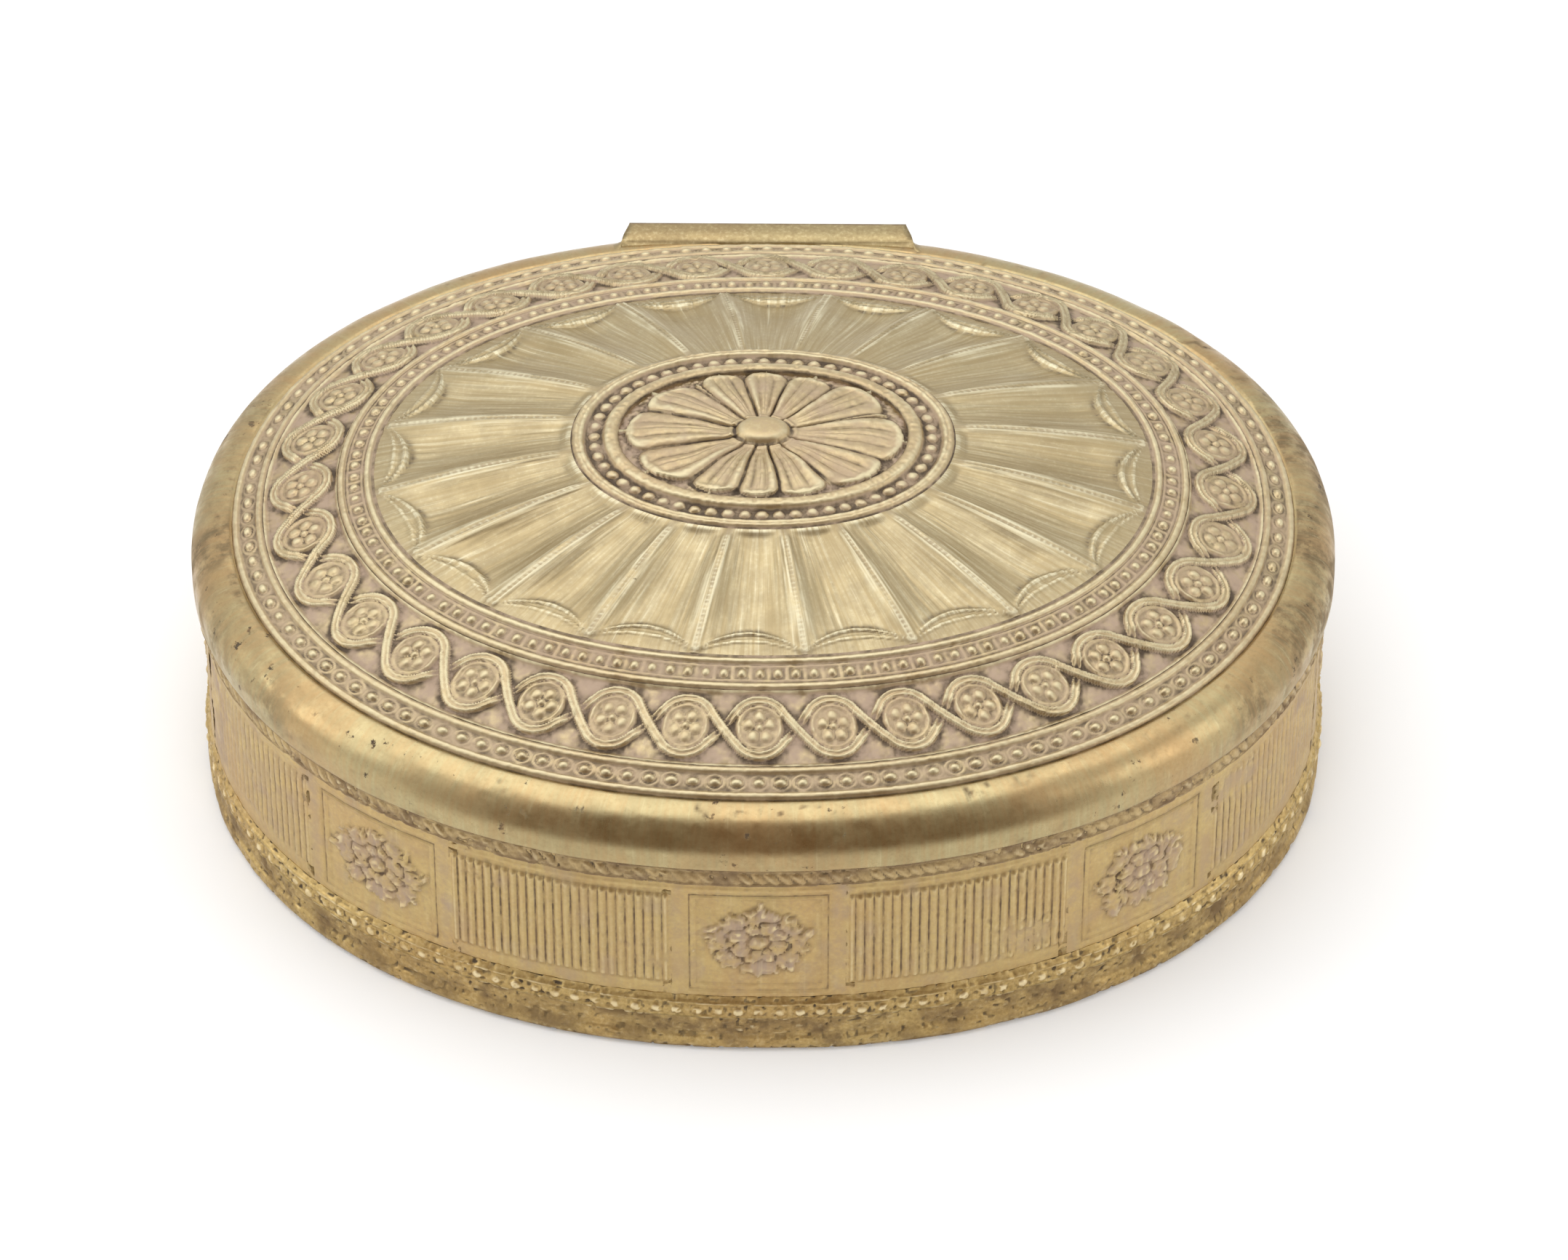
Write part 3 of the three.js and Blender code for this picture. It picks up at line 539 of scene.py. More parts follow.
@dataclass(frozen=True)
class Brass:
    """Gilt brass with dull patina in its hollows and bright metal on its crests."""

    name: str
    body: Colour = (0.60, 0.47, 0.24, 1.0)
    warm: Colour = (0.56, 0.38, 0.20, 1.0)
    bright: Colour = (0.80, 0.68, 0.42, 1.0)
    patina: Colour = (0.40, 0.28, 0.22, 1.0)
    # Dark colour for grime and pits, also used as painted shade in the recesses
    dirt_and_shade: Colour = (0.055, 0.035, 0.018, 1.0)
    roughness: float = 0.34
    patina_roughness: float = 0.62
    patina_metal: float = 0.35
    warm_share: float = 0.5
    # Relief at which the grime and painted shade in the recesses begins and becomes full
    dirt_and_shade_at: tuple[float, float] = (-0.02, -0.16)
    bright_at: tuple[float, float] = (0.04, 0.20)
    pits: float = 0.0
    pit_scale: float = 420.0
    streaks: Streaks = Streaks.NONE
    streak_cells: tuple[float, float] = (900.0, 3.0)
    streak_depth: float = 0.25
    # Share of the streaks' colour: darker brush marks, and a painted highlight on their light side
    streak_tone_and_highlight: float = 0.28
    grain_depth: float = 0.16
    speckle: float = 0.30
    cloud_scale: float = 70.0
    mottle_scale: float = 380.0
    fine_scale: float = 1800.0
    speck_scale: float = 2300.0
    group_scale: float = 45.0
    pit_step: float = 0.05
    bump_strength: float = 0.55
    bump_distance: float = 0.00006

    def build(self) -> bpy.types.Material:
        """Builds the material.

        Returns:
            The material, ready to be given to a mesh that has the attributes relief and patina.
        """
        g = Graph(self.name)
        place = g.place()
        relief = g.attribute("relief")
        patina = g.attribute("patina")
        clouds = g.noise(place, self.cloud_scale, 4.0)
        mottle = g.noise(place, self.mottle_scale, 5.0, 0.65)
        fine = g.noise(place, self.fine_scale, 3.0)

        warm = g.math("MULTIPLY", g.rise(clouds, 0.42, 0.66), self.warm_share)
        colour = g.mix(warm, self.body, self.warm)
        dull = g.math("MULTIPLY", patina, g.rise(mottle, 0.30, 0.62))
        specks = g.noise(place, self.speck_scale, 2.0, 0.6)
        dark_specks = g.math("MULTIPLY", g.rise(specks, 0.50, 0.70), self.speckle)
        colour = g.mix(dark_specks, colour, self.patina)
        pale_specks = g.math("MULTIPLY", g.rise(specks, 0.48, 0.32), 0.7 * self.speckle)
        colour = g.mix(pale_specks, colour, self.bright)
        colour = g.mix(dull, colour, self.patina)
        bright = g.math("MULTIPLY", g.rise(relief, *self.bright_at), g.rise(mottle, 0.25, 0.6))
        colour = g.mix(bright, colour, self.bright)
        # Painted shade: where the relief sinks below its surroundings the colour goes dark, partly grime and
        # partly shade in the recesses
        dirt_and_shade = g.math("MULTIPLY", g.rise(relief, *self.dirt_and_shade_at), g.rise(mottle, 0.72, 0.40))
        colour = g.mix(dirt_and_shade, colour, self.dirt_and_shade)
        patina_dirt_and_shade = g.math("MAXIMUM", dirt_and_shade, dull)
        if self.pits > 0.0:
            spots = g.noise(place, self.pit_scale, 6.0, 0.7)
            near_patina = g.math("MULTIPLY", patina, 0.25)
            groups = g.rise(g.math("ADD", g.noise(place, self.group_scale, 2.0), near_patina), 0.48, 0.62)
            lowered = self.pit_step * self.pits
            pits = g.math("MULTIPLY", g.rise(spots, 0.70 - lowered, 0.76 - lowered), groups)
            colour = g.mix(pits, colour, self.dirt_and_shade)
            patina_dirt_and_shade = g.math("MAXIMUM", patina_dirt_and_shade, pits)

        bump = g.math("MULTIPLY", fine, self.grain_depth)
        if self.streaks is not Streaks.NONE:
            marks = g.noise(g.along_surface(*self.streak_cells), 1.0, 2.0, 0.6)
            bump = g.math("ADD", bump, g.math("MULTIPLY", marks, self.streak_depth))
            streak_tone_and_highlight_mix = g.math("MULTIPLY", g.rise(marks, 0.62, 0.35), self.streak_tone_and_highlight)
            colour = g.mix(streak_tone_and_highlight_mix, colour, self.warm)
            # Painted highlight: the light side of the brushed streaks goes towards the bright colour,
            # standing in for highlights on the metal
            streak_tone_and_highlight_mix = g.math("MULTIPLY", g.rise(marks, 0.58, 0.80), self.streak_tone_and_highlight)
            colour = g.mix(streak_tone_and_highlight_mix, colour, self.bright)

        metal = g.node("ShaderNodeMapRange", {"Value": patina_dirt_and_shade, "To Min": 1.0, "To Max": self.patina_metal})
        dulled = {"Value": patina_dirt_and_shade, "To Min": self.roughness, "To Max": self.patina_roughness}
        rough = g.node("ShaderNodeMapRange", dulled).outputs["Result"]
        rough = g.math("ADD", rough, g.math("MULTIPLY", g.rise(mottle, 0.35, 0.7), 0.10))
        bump_inputs = {"Strength": self.bump_strength, "Distance": self.bump_distance, "Height": bump}
        g.feed(g.shader.inputs["Base Color"], colour)
        g.feed(g.shader.inputs["Metallic"], metal.outputs["Result"])
        g.feed(g.shader.inputs["Roughness"], rough)
        g.feed(g.shader.inputs["Normal"], g.node("ShaderNodeBump", bump_inputs).outputs["Normal"])
        return g.material


@dataclass(frozen=True)
class Finishes:
    """Every finish of the box, by the piece that wears it."""

    # Each finish's dark grime colour is partly grime and partly painted shade in the recesses
    plaque: Brass = Brass(
        "stamped_plaque",
        body=(0.485, 0.385, 0.22, 1.0),
        warm=(0.44, 0.315, 0.175, 1.0),
        bright=(0.64, 0.56, 0.36, 1.0),
        patina=(0.43, 0.32, 0.232, 1.0),
        dirt_and_shade=(0.085, 0.058, 0.036, 1.0),
        dirt_and_shade_at=(-0.03, -0.20),
        roughness=0.42,
    )
    flutes: Brass = Brass(
        "fluted_gilt",
        body=(0.475, 0.395, 0.235, 1.0),
        warm=(0.37, 0.285, 0.15, 1.0),
        bright=(0.68, 0.62, 0.43, 1.0),
        patina=(0.40, 0.32, 0.21, 1.0),
        dirt_and_shade=(0.12, 0.085, 0.045, 1.0),
        roughness=0.38,
        # The light side of these streaks is a painted highlight
        streaks=Streaks.ACROSS,
        streak_cells=(420.0, 2.0),
        streak_depth=1.0,
        streak_tone_and_highlight=0.75,
        bright_at=(0.012, 0.10),
        pits=0.4,
    )
    rim: Brass = Brass(
        "polished_rim",
        body=(0.45, 0.37, 0.195, 1.0),
        warm=(0.45, 0.275, 0.12, 1.0),
        bright=(0.62, 0.53, 0.31, 1.0),
        patina=(0.17, 0.12, 0.055, 1.0),
        roughness=0.27,
        speckle=0.14,
        warm_share=0.6,
        pits=1.9,
        streaks=Streaks.ACROSS,
        streak_cells=(700.0, 3.0),
        streak_depth=0.15,
    )
    wall: Brass = Brass(
        "stamped_wall",
        body=(0.56, 0.42, 0.185, 1.0),
        warm=(0.53, 0.35, 0.155, 1.0),
        bright=(0.70, 0.57, 0.32, 1.0),
        patina=(0.39, 0.285, 0.20, 1.0),
        dirt_and_shade=(0.115, 0.070, 0.038, 1.0),
        dirt_and_shade_at=(-0.015, -0.16),
        roughness=0.42,
        pits=0.5,
        streaks=Streaks.ACROSS,
        streak_cells=(500.0, 2.0),
        streak_depth=0.15,
    )
    foot: Brass = Brass(
        "stamped_foot",
        body=(0.54, 0.39, 0.16, 1.0),
        warm=(0.48, 0.31, 0.12, 1.0),
        # The bright colour on the bead tops is partly rubbed metal and partly a painted highlight
        bright=(0.84, 0.71, 0.44, 1.0),
        patina=(0.185, 0.115, 0.045, 1.0),
        bright_at=(0.06, 0.18),
        dirt_and_shade=(0.065, 0.042, 0.022, 1.0),
        roughness=0.42,
        pits=1.0,
    )
    strip: Brass = Brass(
        "worn_leaf_strip",
        body=(0.50, 0.37, 0.18, 1.0),
        warm=(0.45, 0.30, 0.15, 1.0),
        bright=(0.68, 0.56, 0.34, 1.0),
        patina=(0.19, 0.12, 0.06, 1.0),
        dirt_and_shade=(0.06, 0.038, 0.02, 1.0),
        roughness=0.42,
        pits=0.8,
    )
    plain: Brass = Brass(
        "plain_sheet",
        body=(0.385, 0.305, 0.155, 1.0),
        warm=(0.33, 0.23, 0.11, 1.0),
        patina=(0.19, 0.125, 0.065, 1.0),
        roughness=0.36,
        pits=0.5,
    )
    wire: Brass = Brass(
        "drawn_wire",
        body=(0.40, 0.37, 0.32, 1.0),
        warm=(0.33, 0.29, 0.24, 1.0),
        patina=(0.20, 0.15, 0.11, 1.0),
        roughness=0.35,
    )
    inside: Brass = Brass(
        "inner_sheet",
        body=(0.45, 0.34, 0.165, 1.0),
        warm=(0.40, 0.27, 0.12, 1.0),
        roughness=0.45,
        pits=0.3,
    )


# The lid's plaque


@dataclass
class Dome:
    """The plain domed sheet that the plaque's ornament stands on, in millimetres.

    Below it the stamping shows again, softened within a radius and a little shallower.
    """

    plan: Plan
    edge: float
    edge_z: float
    rise: float
    power: float = 2.5
    sheet: float = 0.8
    middle: float = 0.12
    compared_within: float = 0.55
    softened_within: float = 0.6
    reverse_depth: float = 0.8
    reverse_patina: float = 0.5

    def height(self, half_length: Array) -> Array:
        """Crown less the rise times the share of the way to the edge, to the power."""
        return self.edge_z + self.rise * (1.0 - (half_length / self.edge) ** self.power)

    def band(self, relief: Callable[[Spot], tuple[Array, Array]], outer: float, inner: float,
             columns: int, rows: int) -> Surface:
        """A closed band of the plaque: ornament above, the softened reverse of it below.

        Args:
            relief: Gives the height and the patina at each spot.
            outer: Half length of the band's outer edge.
            inner: Half length of its inner edge, 0 for the middle of the lid.
            columns: Points round the band.
            rows: Points across it.

        Returns:
            The surface.
        """
        capped = inner <= 0.0
        lengths = np.linspace(outer, self.middle if capped else inner, rows)
        turn = 0.5 + np.arange(columns) / columns
        turns, half = np.meshgrid(turn, lengths)
        base = self.plan.points(turns, half, self.height(half))
        spot = Spot(turns, local_scale(base, columns), base, half)
        height, patina = relief(spot)
        normal = normals_of(base)
        top = base + normal * height[..., None]

        row_mm = abs(outer - lengths[-1]) / (rows - 1)
        column_mm = float(spot.around.mean()) / columns
        stands = height - blurred(height, row_mm, column_mm, self.compared_within)
        soft = blurred(height, row_mm, column_mm, self.softened_within)
        keep = np.unique(np.linspace(0, rows - 1, max(rows // 3, 4)).astype(int))[::-1]
        under = base[keep] + normal[keep] * (self.reverse_depth * soft[keep] - self.sheet)[..., None]
        flat = np.zeros(under.shape[:2])
        faces = [(top, stands, patina), (under, flat, flat + self.reverse_patina)]
        sharp = (0, rows - 1, rows, rows + len(keep) - 1)
        if capped:
            faces.reverse()
            sharp = (len(keep) - 1, len(keep))
        points, heights, worn = (np.concatenate(pair) for pair in zip(*faces))
        return Surface(points, heights, worn, sharp, capped)


@dataclass(frozen=True)
class Pearls:
    """A row of oval beads, in millimetres, each a half round over its oval with a size of its own."""

    count: int
    half_length: float
    half_width: float
    height: float
    seed: int
    sizes: tuple[float, float] = (0.88, 1.06)

    def rise(self, spot: Spot, middle: float) -> Array:
        """Height of the beads.

        Args:
            spot: Where to work it out.
            middle: Half length of the row's middle.

        Returns:
            The height at each spot.
        """
        along, number = spot.along(self.count)
        size = each_one(number, self.count, self.seed, *self.sizes)
        distance = np.hypot(along / (self.half_length * size), (spot.half - middle) / self.half_width)
        return bead(distance, self.height * size)


@dataclass
class LidPlaque:
    """The stamped plaque of the lid, band by band."""

    plan: Plan
    dome: Dome
    finishes: Finishes
    rosettes: int = 36
    flutes: int = 20
    petals: int = 12
    outer_pearls: Pearls = Pearls(136, 0.64, 0.42, 0.46, seed=1)
    inner_pearls: Pearls = Pearls(130, 0.50, 0.50, 0.42, seed=11)
    medallion_pearls: Pearls = Pearls(56, 0.66, 0.66, 0.44, seed=31)
    fillet: float = 0.9
    outer_row: float = 1.55
    border: float = 7.8
    inner_row: float = 1.85
    inner_ledge: float = 0.25
    turned: float = 0.005
    ribbon_radius: float = 2.86
    half_ribbon: float = 0.48
    eye: float = 2.35
    medallion_fillet: float = 0.76
    medallion_row: float = 2.46
    medallion_ring: float = 4.22

    def edges(self) -> list[float]:
        """Half lengths at which the bands meet, from the rim to the medallion's field."""
        outer_rows = self.dome.edge - 2 * self.fillet - self.outer_row
        border = outer_rows - self.border
        inner_rows = border - 2 * self.fillet - self.inner_row - self.inner_ledge
        middle = [self.plan.medallion[0], self.plan.field_edge[0]]
        return [self.dome.edge, outer_rows, border, inner_rows, *middle]

    def fillets(self, spot: Spot, edge: float, row: float, outer: tuple[float, float],
                inner: tuple[float, float]) -> tuple[Array, float]:
        """A fillet on each side of a row, each a pillow of its own half width and height.

        Args:
            spot: Where to work it out.
            edge: Half length at which the outer fillet starts.
            row: Width of the row between them.
            outer: Half width and height of the outer fillet.
            inner: The same of the inner one.

        Returns:
            The height of both, and the half length of the row's middle.
        """
        inset = edge - spot.half
        low = self.fillet + row + self.fillet / 2
        first = pillow((inset - self.fillet / 2) / outer[0], outer[1], 3.0)
        second = pillow((inset - low) / inner[0], inner[1], 3.0)
        return first + second, edge - self.fillet - row / 2

    def outer_rows(self, spot: Spot) -> tuple[Array, Array]:
        """Fillet, framed bead row and fillet, next to the rim.

        Args:
            spot: Places on the plaque.

        Returns:
            The height and the patina.
        """
        fillets, middle = self.fillets(spot, self.dome.edge, self.outer_row, (0.40, 0.34), (0.40, 0.32))
        beads = self.outer_pearls.rise(spot, middle)
        along, number = spot.along(self.outer_pearls.count)
        ring = np.hypot(along / 1.05, (spot.half - middle) / 0.76)
        frame = line(ring - 0.92, 0.12, 0.15) * each_one(number, self.outer_pearls.count, 2, 0.3, 1.1)
        height = np.maximum(np.maximum(fillets, beads), frame) + spot.rough(3)
        patina = 0.55 - 0.45 * smoothstep(height, 0.1, 0.3)
        return height - 0.05, patina

    def ribbon_border(self, spot: Spot) -> tuple[Array, Array]:
        """Two ribbons that cross between rosettes, over a sunk ground with a flower in each eye.

        A ribbon follows a circle round each rosette as far as the point where the straight line to the
        crossing touches it, and then that line. At each crossing one of the two dips under the other.

        Args:
            spot: Places on the plaque.

        Returns:
            The height and the patina.
        """
        edges = self.edges()
        middle = (edges[1] + edges[2]) / 2
        x, number = spot.along(self.rosettes)
        y = spot.half - middle
        radial, angle = np.hypot(x, y), np.arctan2(y, x)
        half_pitch = spot.around / self.rosettes / 2
        radius, deep, far = self.ribbon_radius, 0.44, 9.0
        slope = np.arcsin(np.clip(radius / half_pitch, 0.0, 0.98))
        touch = half_pitch - np.sqrt(np.maximum(half_pitch**2 - radius**2, 0.0)) * np.cos(slope)
        from_circle = np.abs(radial - radius)
        reach = (half_pitch - np.abs(x)) * np.tan(slope)
        straight_up = np.abs(y - reach) * np.cos(slope)
        straight_down = np.abs(y + reach) * np.cos(slope)
        round_part = np.abs(x) < touch
        outer = np.where(round_part, np.where(y > 0, from_circle, far), straight_up)
        inner = np.where(round_part, np.where(y < 0, from_circle, far), straight_down)
        crossing = np.hypot(half_pitch - np.abs(x), y)
        dip = deep * (1.0 - smoothstep(crossing, 0.6, 1.9))
        outer_over = x < 0

        def ribbon(distance: Array, over: Array) -> Array:
            """Band with a raised line along each edge, lower where it passes under the other."""
            shape = pillow(distance / self.half_ribbon, deep, 6.0) + line(distance - 0.30, 0.13, 0.28)
            return np.where(distance < self.half_ribbon, shape - np.where(over, 0.0, dip), 0.0)

        ribbons = np.maximum(ribbon(outer, outer_over), ribbon(inner, ~outer_over))
        turned = each_one(number, self.rosettes, 5, -0.5, 0.5)
        from_petal = nearest((angle + turned) * 2.5 / np.pi) * 0.4 * np.pi
        petal = np.hypot((radial * np.cos(from_petal) - 1.10) / 0.64, radial * np.sin(from_petal) / 0.62)
        flower = np.maximum(bead(petal, 0.38), bead(radial / 0.42, 0.44))
        eye_ring = line(radial - 2.12, 0.15, 0.26)
        ground = 0.04 * spot.wear(0.7, 7) + 0.04 * spot.wear(0.32, 8)
        in_eye = radial < self.eye
        ornament = np.maximum(ribbons, np.where(in_eye, np.maximum(flower, eye_ring), 0.0))
        fade = each_one(number, self.rosettes, 9, 0.78, 1.0)
        near_edge = np.minimum(edges[1] - spot.half, spot.half - edges[2])
        wall = 1.0 - smoothstep(near_edge, 0.05, 0.42)
        eye = 0.30 * smoothstep(radial, 2.62, 2.30)
        ornament = np.where(in_eye, eye + 0.85 * ornament, np.maximum(ornament, eye))
        height = -0.36 * (1.0 - wall) + ornament * fade + ground
        patina = np.where(in_eye, 0.45, 1.0) * (1.0 - 0.80 * smoothstep(ornament - eye, 0.10, 0.34))
        patina *= 1.0 - 0.7 * wall
        return height, patina

    def inner_rows(self, spot: Spot) -> tuple[Array, Array]:
        """Fillet, framed bead row and fillet, between the border and the flutes.

        Args:
            spot: Places on the plaque.

        Returns:
            The height and the patina.
        """
        start = self.edges()[2]
        fillets, middle = self.fillets(spot, start, self.inner_row, (0.42, 0.36), (0.38, 0.36))
        beads = self.inner_pearls.rise(spot, middle)
        side, number = spot.along(self.inner_pearls.count, 0.5)
        across = np.abs(spot.half - middle)
        bars = line(side, 0.12, 0.20) * smoothstep(across, 0.9, 0.6)
        bars *= each_one(number, self.inner_pearls.count, 12, 0.2, 1.1)
        ledge = line(across - 0.76, 0.10, 0.16)
        height = np.maximum.reduce([fillets, beads, bars, ledge]) + spot.rough(13)
        patina = 0.75 - 0.65 * smoothstep(height, 0.1, 0.3)
        return height - 0.08, patina

    def flute_field(self, spot: Spot) -> tuple[Array, Array]:
        """Concave flutes with beaded double lines between them and curved lunettes at their ends.

        Across a flute the depth is one minus the squared share of the half width. Each lunette's edge
        swells inwards by one minus the squared share.

        Args:
            spot: Places on the plaque.

        Returns:
            The height and the patina.
        """
        edges = self.edges()
        end, start = edges[3], edges[4]
        divider = np.abs(nearest((spot.turn + self.turned) * self.flutes - 0.5)) * spot.around / self.flutes
        half_cell = spot.around / self.flutes / 2
        band = 0.55 * smoothstep(spot.half, start, start + 9.0) + 0.15
        share = np.clip((divider - band) / np.maximum(half_cell - band, 0.2), 0.0, 1.0)
        across = 1.0 - np.clip(divider / half_cell, 0.0, 1.0)
        depth = 0.46 + 0.54 * smoothstep(spot.half, start, start + 12.0)
        depth -= 0.48 * smoothstep(spot.half, end - 7.0, end - 2.0)
        depth *= smoothstep(spot.half, start + 0.1, start + 1.3)
        channel = -depth * share * (2.0 - share)
        swell = 1.0 - across * across
        first = end - 0.35 - 2.85 * swell
        second = end - 0.30 - 1.75 * swell
        land = smoothstep(spot.half, first - 0.55, first + 0.05)
        between = np.clip((spot.half - first) / np.maximum(second - first, 0.15), 0.0, 1.0)
        hollow = 0.12 * np.sin(np.pi * between)
        flat = -0.10 - hollow
        lines = line(spot.half - first, 0.19, 0.20) + line(spot.half - second, 0.16, 0.16)
        height = channel * (1.0 - land) + flat * land * smoothstep(divider, 0.1, 0.6)
        height += lines * smoothstep(divider, 0.05, 0.5)
        pair = line(divider - 0.34, 0.13, 0.14)
        dot_step = 0.74
        dots = 0.13 * (0.5 + 0.5 * np.cos(2.0 * np.pi * spot.half / dot_step)) * line(divider, 0.19, 1.0)
        shown = smoothstep(spot.half, start + 0.3, start + 2.5) * smoothstep(spot.half, end, end - 0.6)
        height += (pair + dots) * shown
        brushed = 0.030 * Grain(21, (460.0, 0.20), 40.0)(spot.turn, spot.half)
        brushed += 0.018 * Grain(23, (950.0, 0.45), 40.0, FINE)(spot.turn, spot.half)
        brushed *= (1.0 - land) * smoothstep(spot.half, start + 0.4, start + 2.2)
        height += brushed + spot.rough(22) * (0.25 + 0.45 * land)
        patina = 0.15 + 0.6 * np.exp(-((divider / 0.45) ** 2)) + 0.35 * land * (1.0 - swell)
        return height, np.clip(patina, 0.0, 1.0)

    def medallion_frame(self, spot: Spot) -> tuple[Array, Array]:
        """Broad fillet, row of pearls in a trough, and the smooth ring round the flower.

        Args:
            spot: Places on the plaque.

        Returns:
            The height and the patina.
        """
        edge = self.plan.medallion[0]
        inset = edge - spot.half
        fillet = pillow((inset - self.medallion_fillet) / 0.68, 0.40, 4.0) - line(inset - 0.80, 0.10, 0.06)
        pearls = self.medallion_pearls.rise(spot, edge - self.medallion_row)
        ring = pillow((inset - self.medallion_ring) / 0.90, 0.52, 4.0)
        trough = -0.20 * smoothstep(inset, 1.45, 1.7) * smoothstep(inset, 3.3, 3.0)
        height = trough + np.maximum.reduce([fillet, pearls, ring]) + 1.5 * spot.rough(32)
        patina = 0.75 - 0.65 * smoothstep(height, 0.1, 0.35)
        return height, patina

    def flower(self, spot: Spot) -> tuple[Array, Array]:
        """Twelve ribbed petals about an oval button, on a stippled ground.

        The petals share out the angle about the middle equally, so those at the oval's ends are wider.
        A petal is as wide as its share of the ring until its rounded tip. Its section is a pillow that
        leans so that one edge lies over its neighbour, with three veins pressed into it.

        Args:
            spot: Places on the plaque.

        Returns:
            The height and the patina.
        """
        button, rim = 0.92 * self.plan.button[0], self.plan.field_edge[0]
        along = (spot.half - button) / (rim - button)
        bend = 0.05 * spot.wear(3.5, 45)
        turn = np.arctan2(spot.base[..., 1], spot.base[..., 0]) / (2.0 * np.pi) + self.turned
        phase = turn * self.petals + bend
        phase += each_one(phase, self.petals, 46, -0.10, 0.10) * np.clip(along, 0.0, 1.0) ** 2
        number = np.round(phase)
        reach = each_one(number, self.petals, 41, 0.90, 0.97)
        across = 2.0 * nearest(phase)
        tip = np.clip((along - reach + 0.20) / 0.20, 0.0, 1.0)
        width = 1.02 * np.clip(1.0 - tip**2.8, 0.0, 1.0) ** 0.55 * (0.86 + 0.14 * smoothstep(along, 0.0, 0.4))
        share = across / np.maximum(width, 0.02)
        inside = np.abs(share) < 1.0
        lift = 0.26 + 0.28 * smoothstep(along, 0.0, 0.45) - 0.14 * smoothstep(along, 0.6, 0.95)
        section = np.clip(1.0 - np.abs(share) ** 7, 0.0, 1.0) ** 0.6 + 0.28 * share
        veins = line(np.abs(share) - 0.36, 0.07, 0.11) + line(share + 0.02, 0.06, 0.08)
        ribs = (0.05 * np.cos(2.8 * np.pi * share) - veins) * smoothstep(along, 0.05, 0.35)
        curled = line(along - reach + 0.05, 0.035, 0.10)
        petals = np.where(inside, lift * section + ribs * smoothstep(along, 0.97, 0.75) + curled, 0.0)
        stipple = 0.10 * spot.wear(0.42, 42) + 0.07 * spot.wear(0.25, 43)
        height = -0.26 + np.where(inside, petals + 0.12, stipple)
        hub = np.clip(spot.half / button, 0.0, 1.5)
        knob = np.sqrt(np.clip(1.0 - hub**5, 0.0, 1.0))
        height = np.where(hub < 1.0, knob, height)
        collar = line(spot.half - button - 0.55, 0.22, 0.16)
        height += np.where(hub >= 1.0, collar, 0.0)
        patina = np.where(inside, 0.40 + 0.25 * spot.wear(1.6, 47), 0.95)
        patina = np.where(hub < 1.0, 0.05, patina)
        return height + spot.rough(44) * (hub > 1.0), patina

    def build(self) -> list[bpy.types.Object]:
        """Builds the bands of the plaque.

        Returns:
            The pieces.
        """
        plaque, flutes = self.finishes.plaque.build(), self.finishes.flutes.build()
        # Name, ornament, columns round the band, rows across it and finish.
        bands = [
            ("lid_outer_pearls", self.outer_rows, self.outer_pearls.count * 12, 30, plaque),
            ("lid_ribbon_border", self.ribbon_border, self.rosettes * 40, 50, plaque),
            ("lid_inner_pearls", self.inner_rows, self.inner_pearls.count * 11, 32, plaque),
            ("lid_flutes", self.flute_field, self.flutes * 48, 76, flutes),
            ("lid_medallion", self.medallion_frame, self.medallion_pearls.count * 14, 44, plaque),
            ("lid_flower", self.flower, self.petals * 56, 90, plaque),
        ]
        edges = [*self.edges(), 0.0]
        made = []
        for (name, relief, columns, rows, finish), outer, inner in zip(bands, edges, edges[1:]):
            surface = self.dome.band(relief, outer, inner, columns, rows)
            made.append(dress(name, surface, finish, "lid_plaque", "lid"))
        return made


# Hoops: rim, strip, wall, foot and collar


@dataclass
class Hoop:
    """A closed section carried round the box. The section is inset and height pairs, in millimetres."""

    plan: Plan
    section: Array
    columns: int
    turns: Array | None = None
    plain_patina: float = 0.15

    def build(self, relief: Callable[[SideSpot], tuple[Array, Array]], ornamented: int,
              creased: bool = False, blur: float = 0.5) -> Surface:
        """Carries the section round and raises the ornament from its first rows.

        Args:
            relief: Gives the height and the patina at each spot of the ornamented rows.
            ornamented: How many rows from the start carry ornament.
            creased: Whether that face and the two rows behind it meet at sharp edges.
            blur: Radius within which relief is compared with its surroundings.

        Returns:
            The surface.
        """
        turn = self.turns if self.turns is not None else 0.5 + np.arange(self.columns) / self.columns
        turns, inset = np.meshgrid(turn, self.section[:, 0])
        z = np.broadcast_to(self.section[:, 1][:, None], turns.shape)
        base = self.plan.points(turns, self.plan.half_length - inset, z)
        height, stands = np.zeros(turns.shape), np.zeros(turns.shape)
        patina = np.full(turns.shape, self.plain_patina)
        part = slice(0, ornamented)
        steps = np.hypot(*np.diff(self.section[part], axis=0).T)
        travel = np.concatenate([[0.0], np.cumsum(steps)])
        even = self.turns is None
        around = local_scale(base, self.columns)[part] if even else self.around(base[part], turn)
        spot = SideSpot(turns[part], around, base[part], travel[:, None] + 0.0 * turns[part])
        height[part], patina[part] = relief(spot)
        row_mm, column_mm = float(travel[-1]) / (ornamented - 1), float(around.mean()) / self.columns
        stands[part] = height[part] - blurred(height[part], row_mm, column_mm, blur)
        sharp = (0, ornamented - 1, ornamented, ornamented + 1) if creased else ()
        return Surface(base + normals_of(base) * height[..., None], stands, patina, sharp)

    @staticmethod
    def around(points: Array, turn: Array) -> Array:
        """Length of a whole turn at each point where the columns are unevenly spaced."""
        steps = np.linalg.norm(np.roll(points, -1, axis=1) - points, axis=-1)
        gaps = (np.roll(turn, -1) - turn) % 1.0
        return steps / np.maximum(gaps, 1e-9)


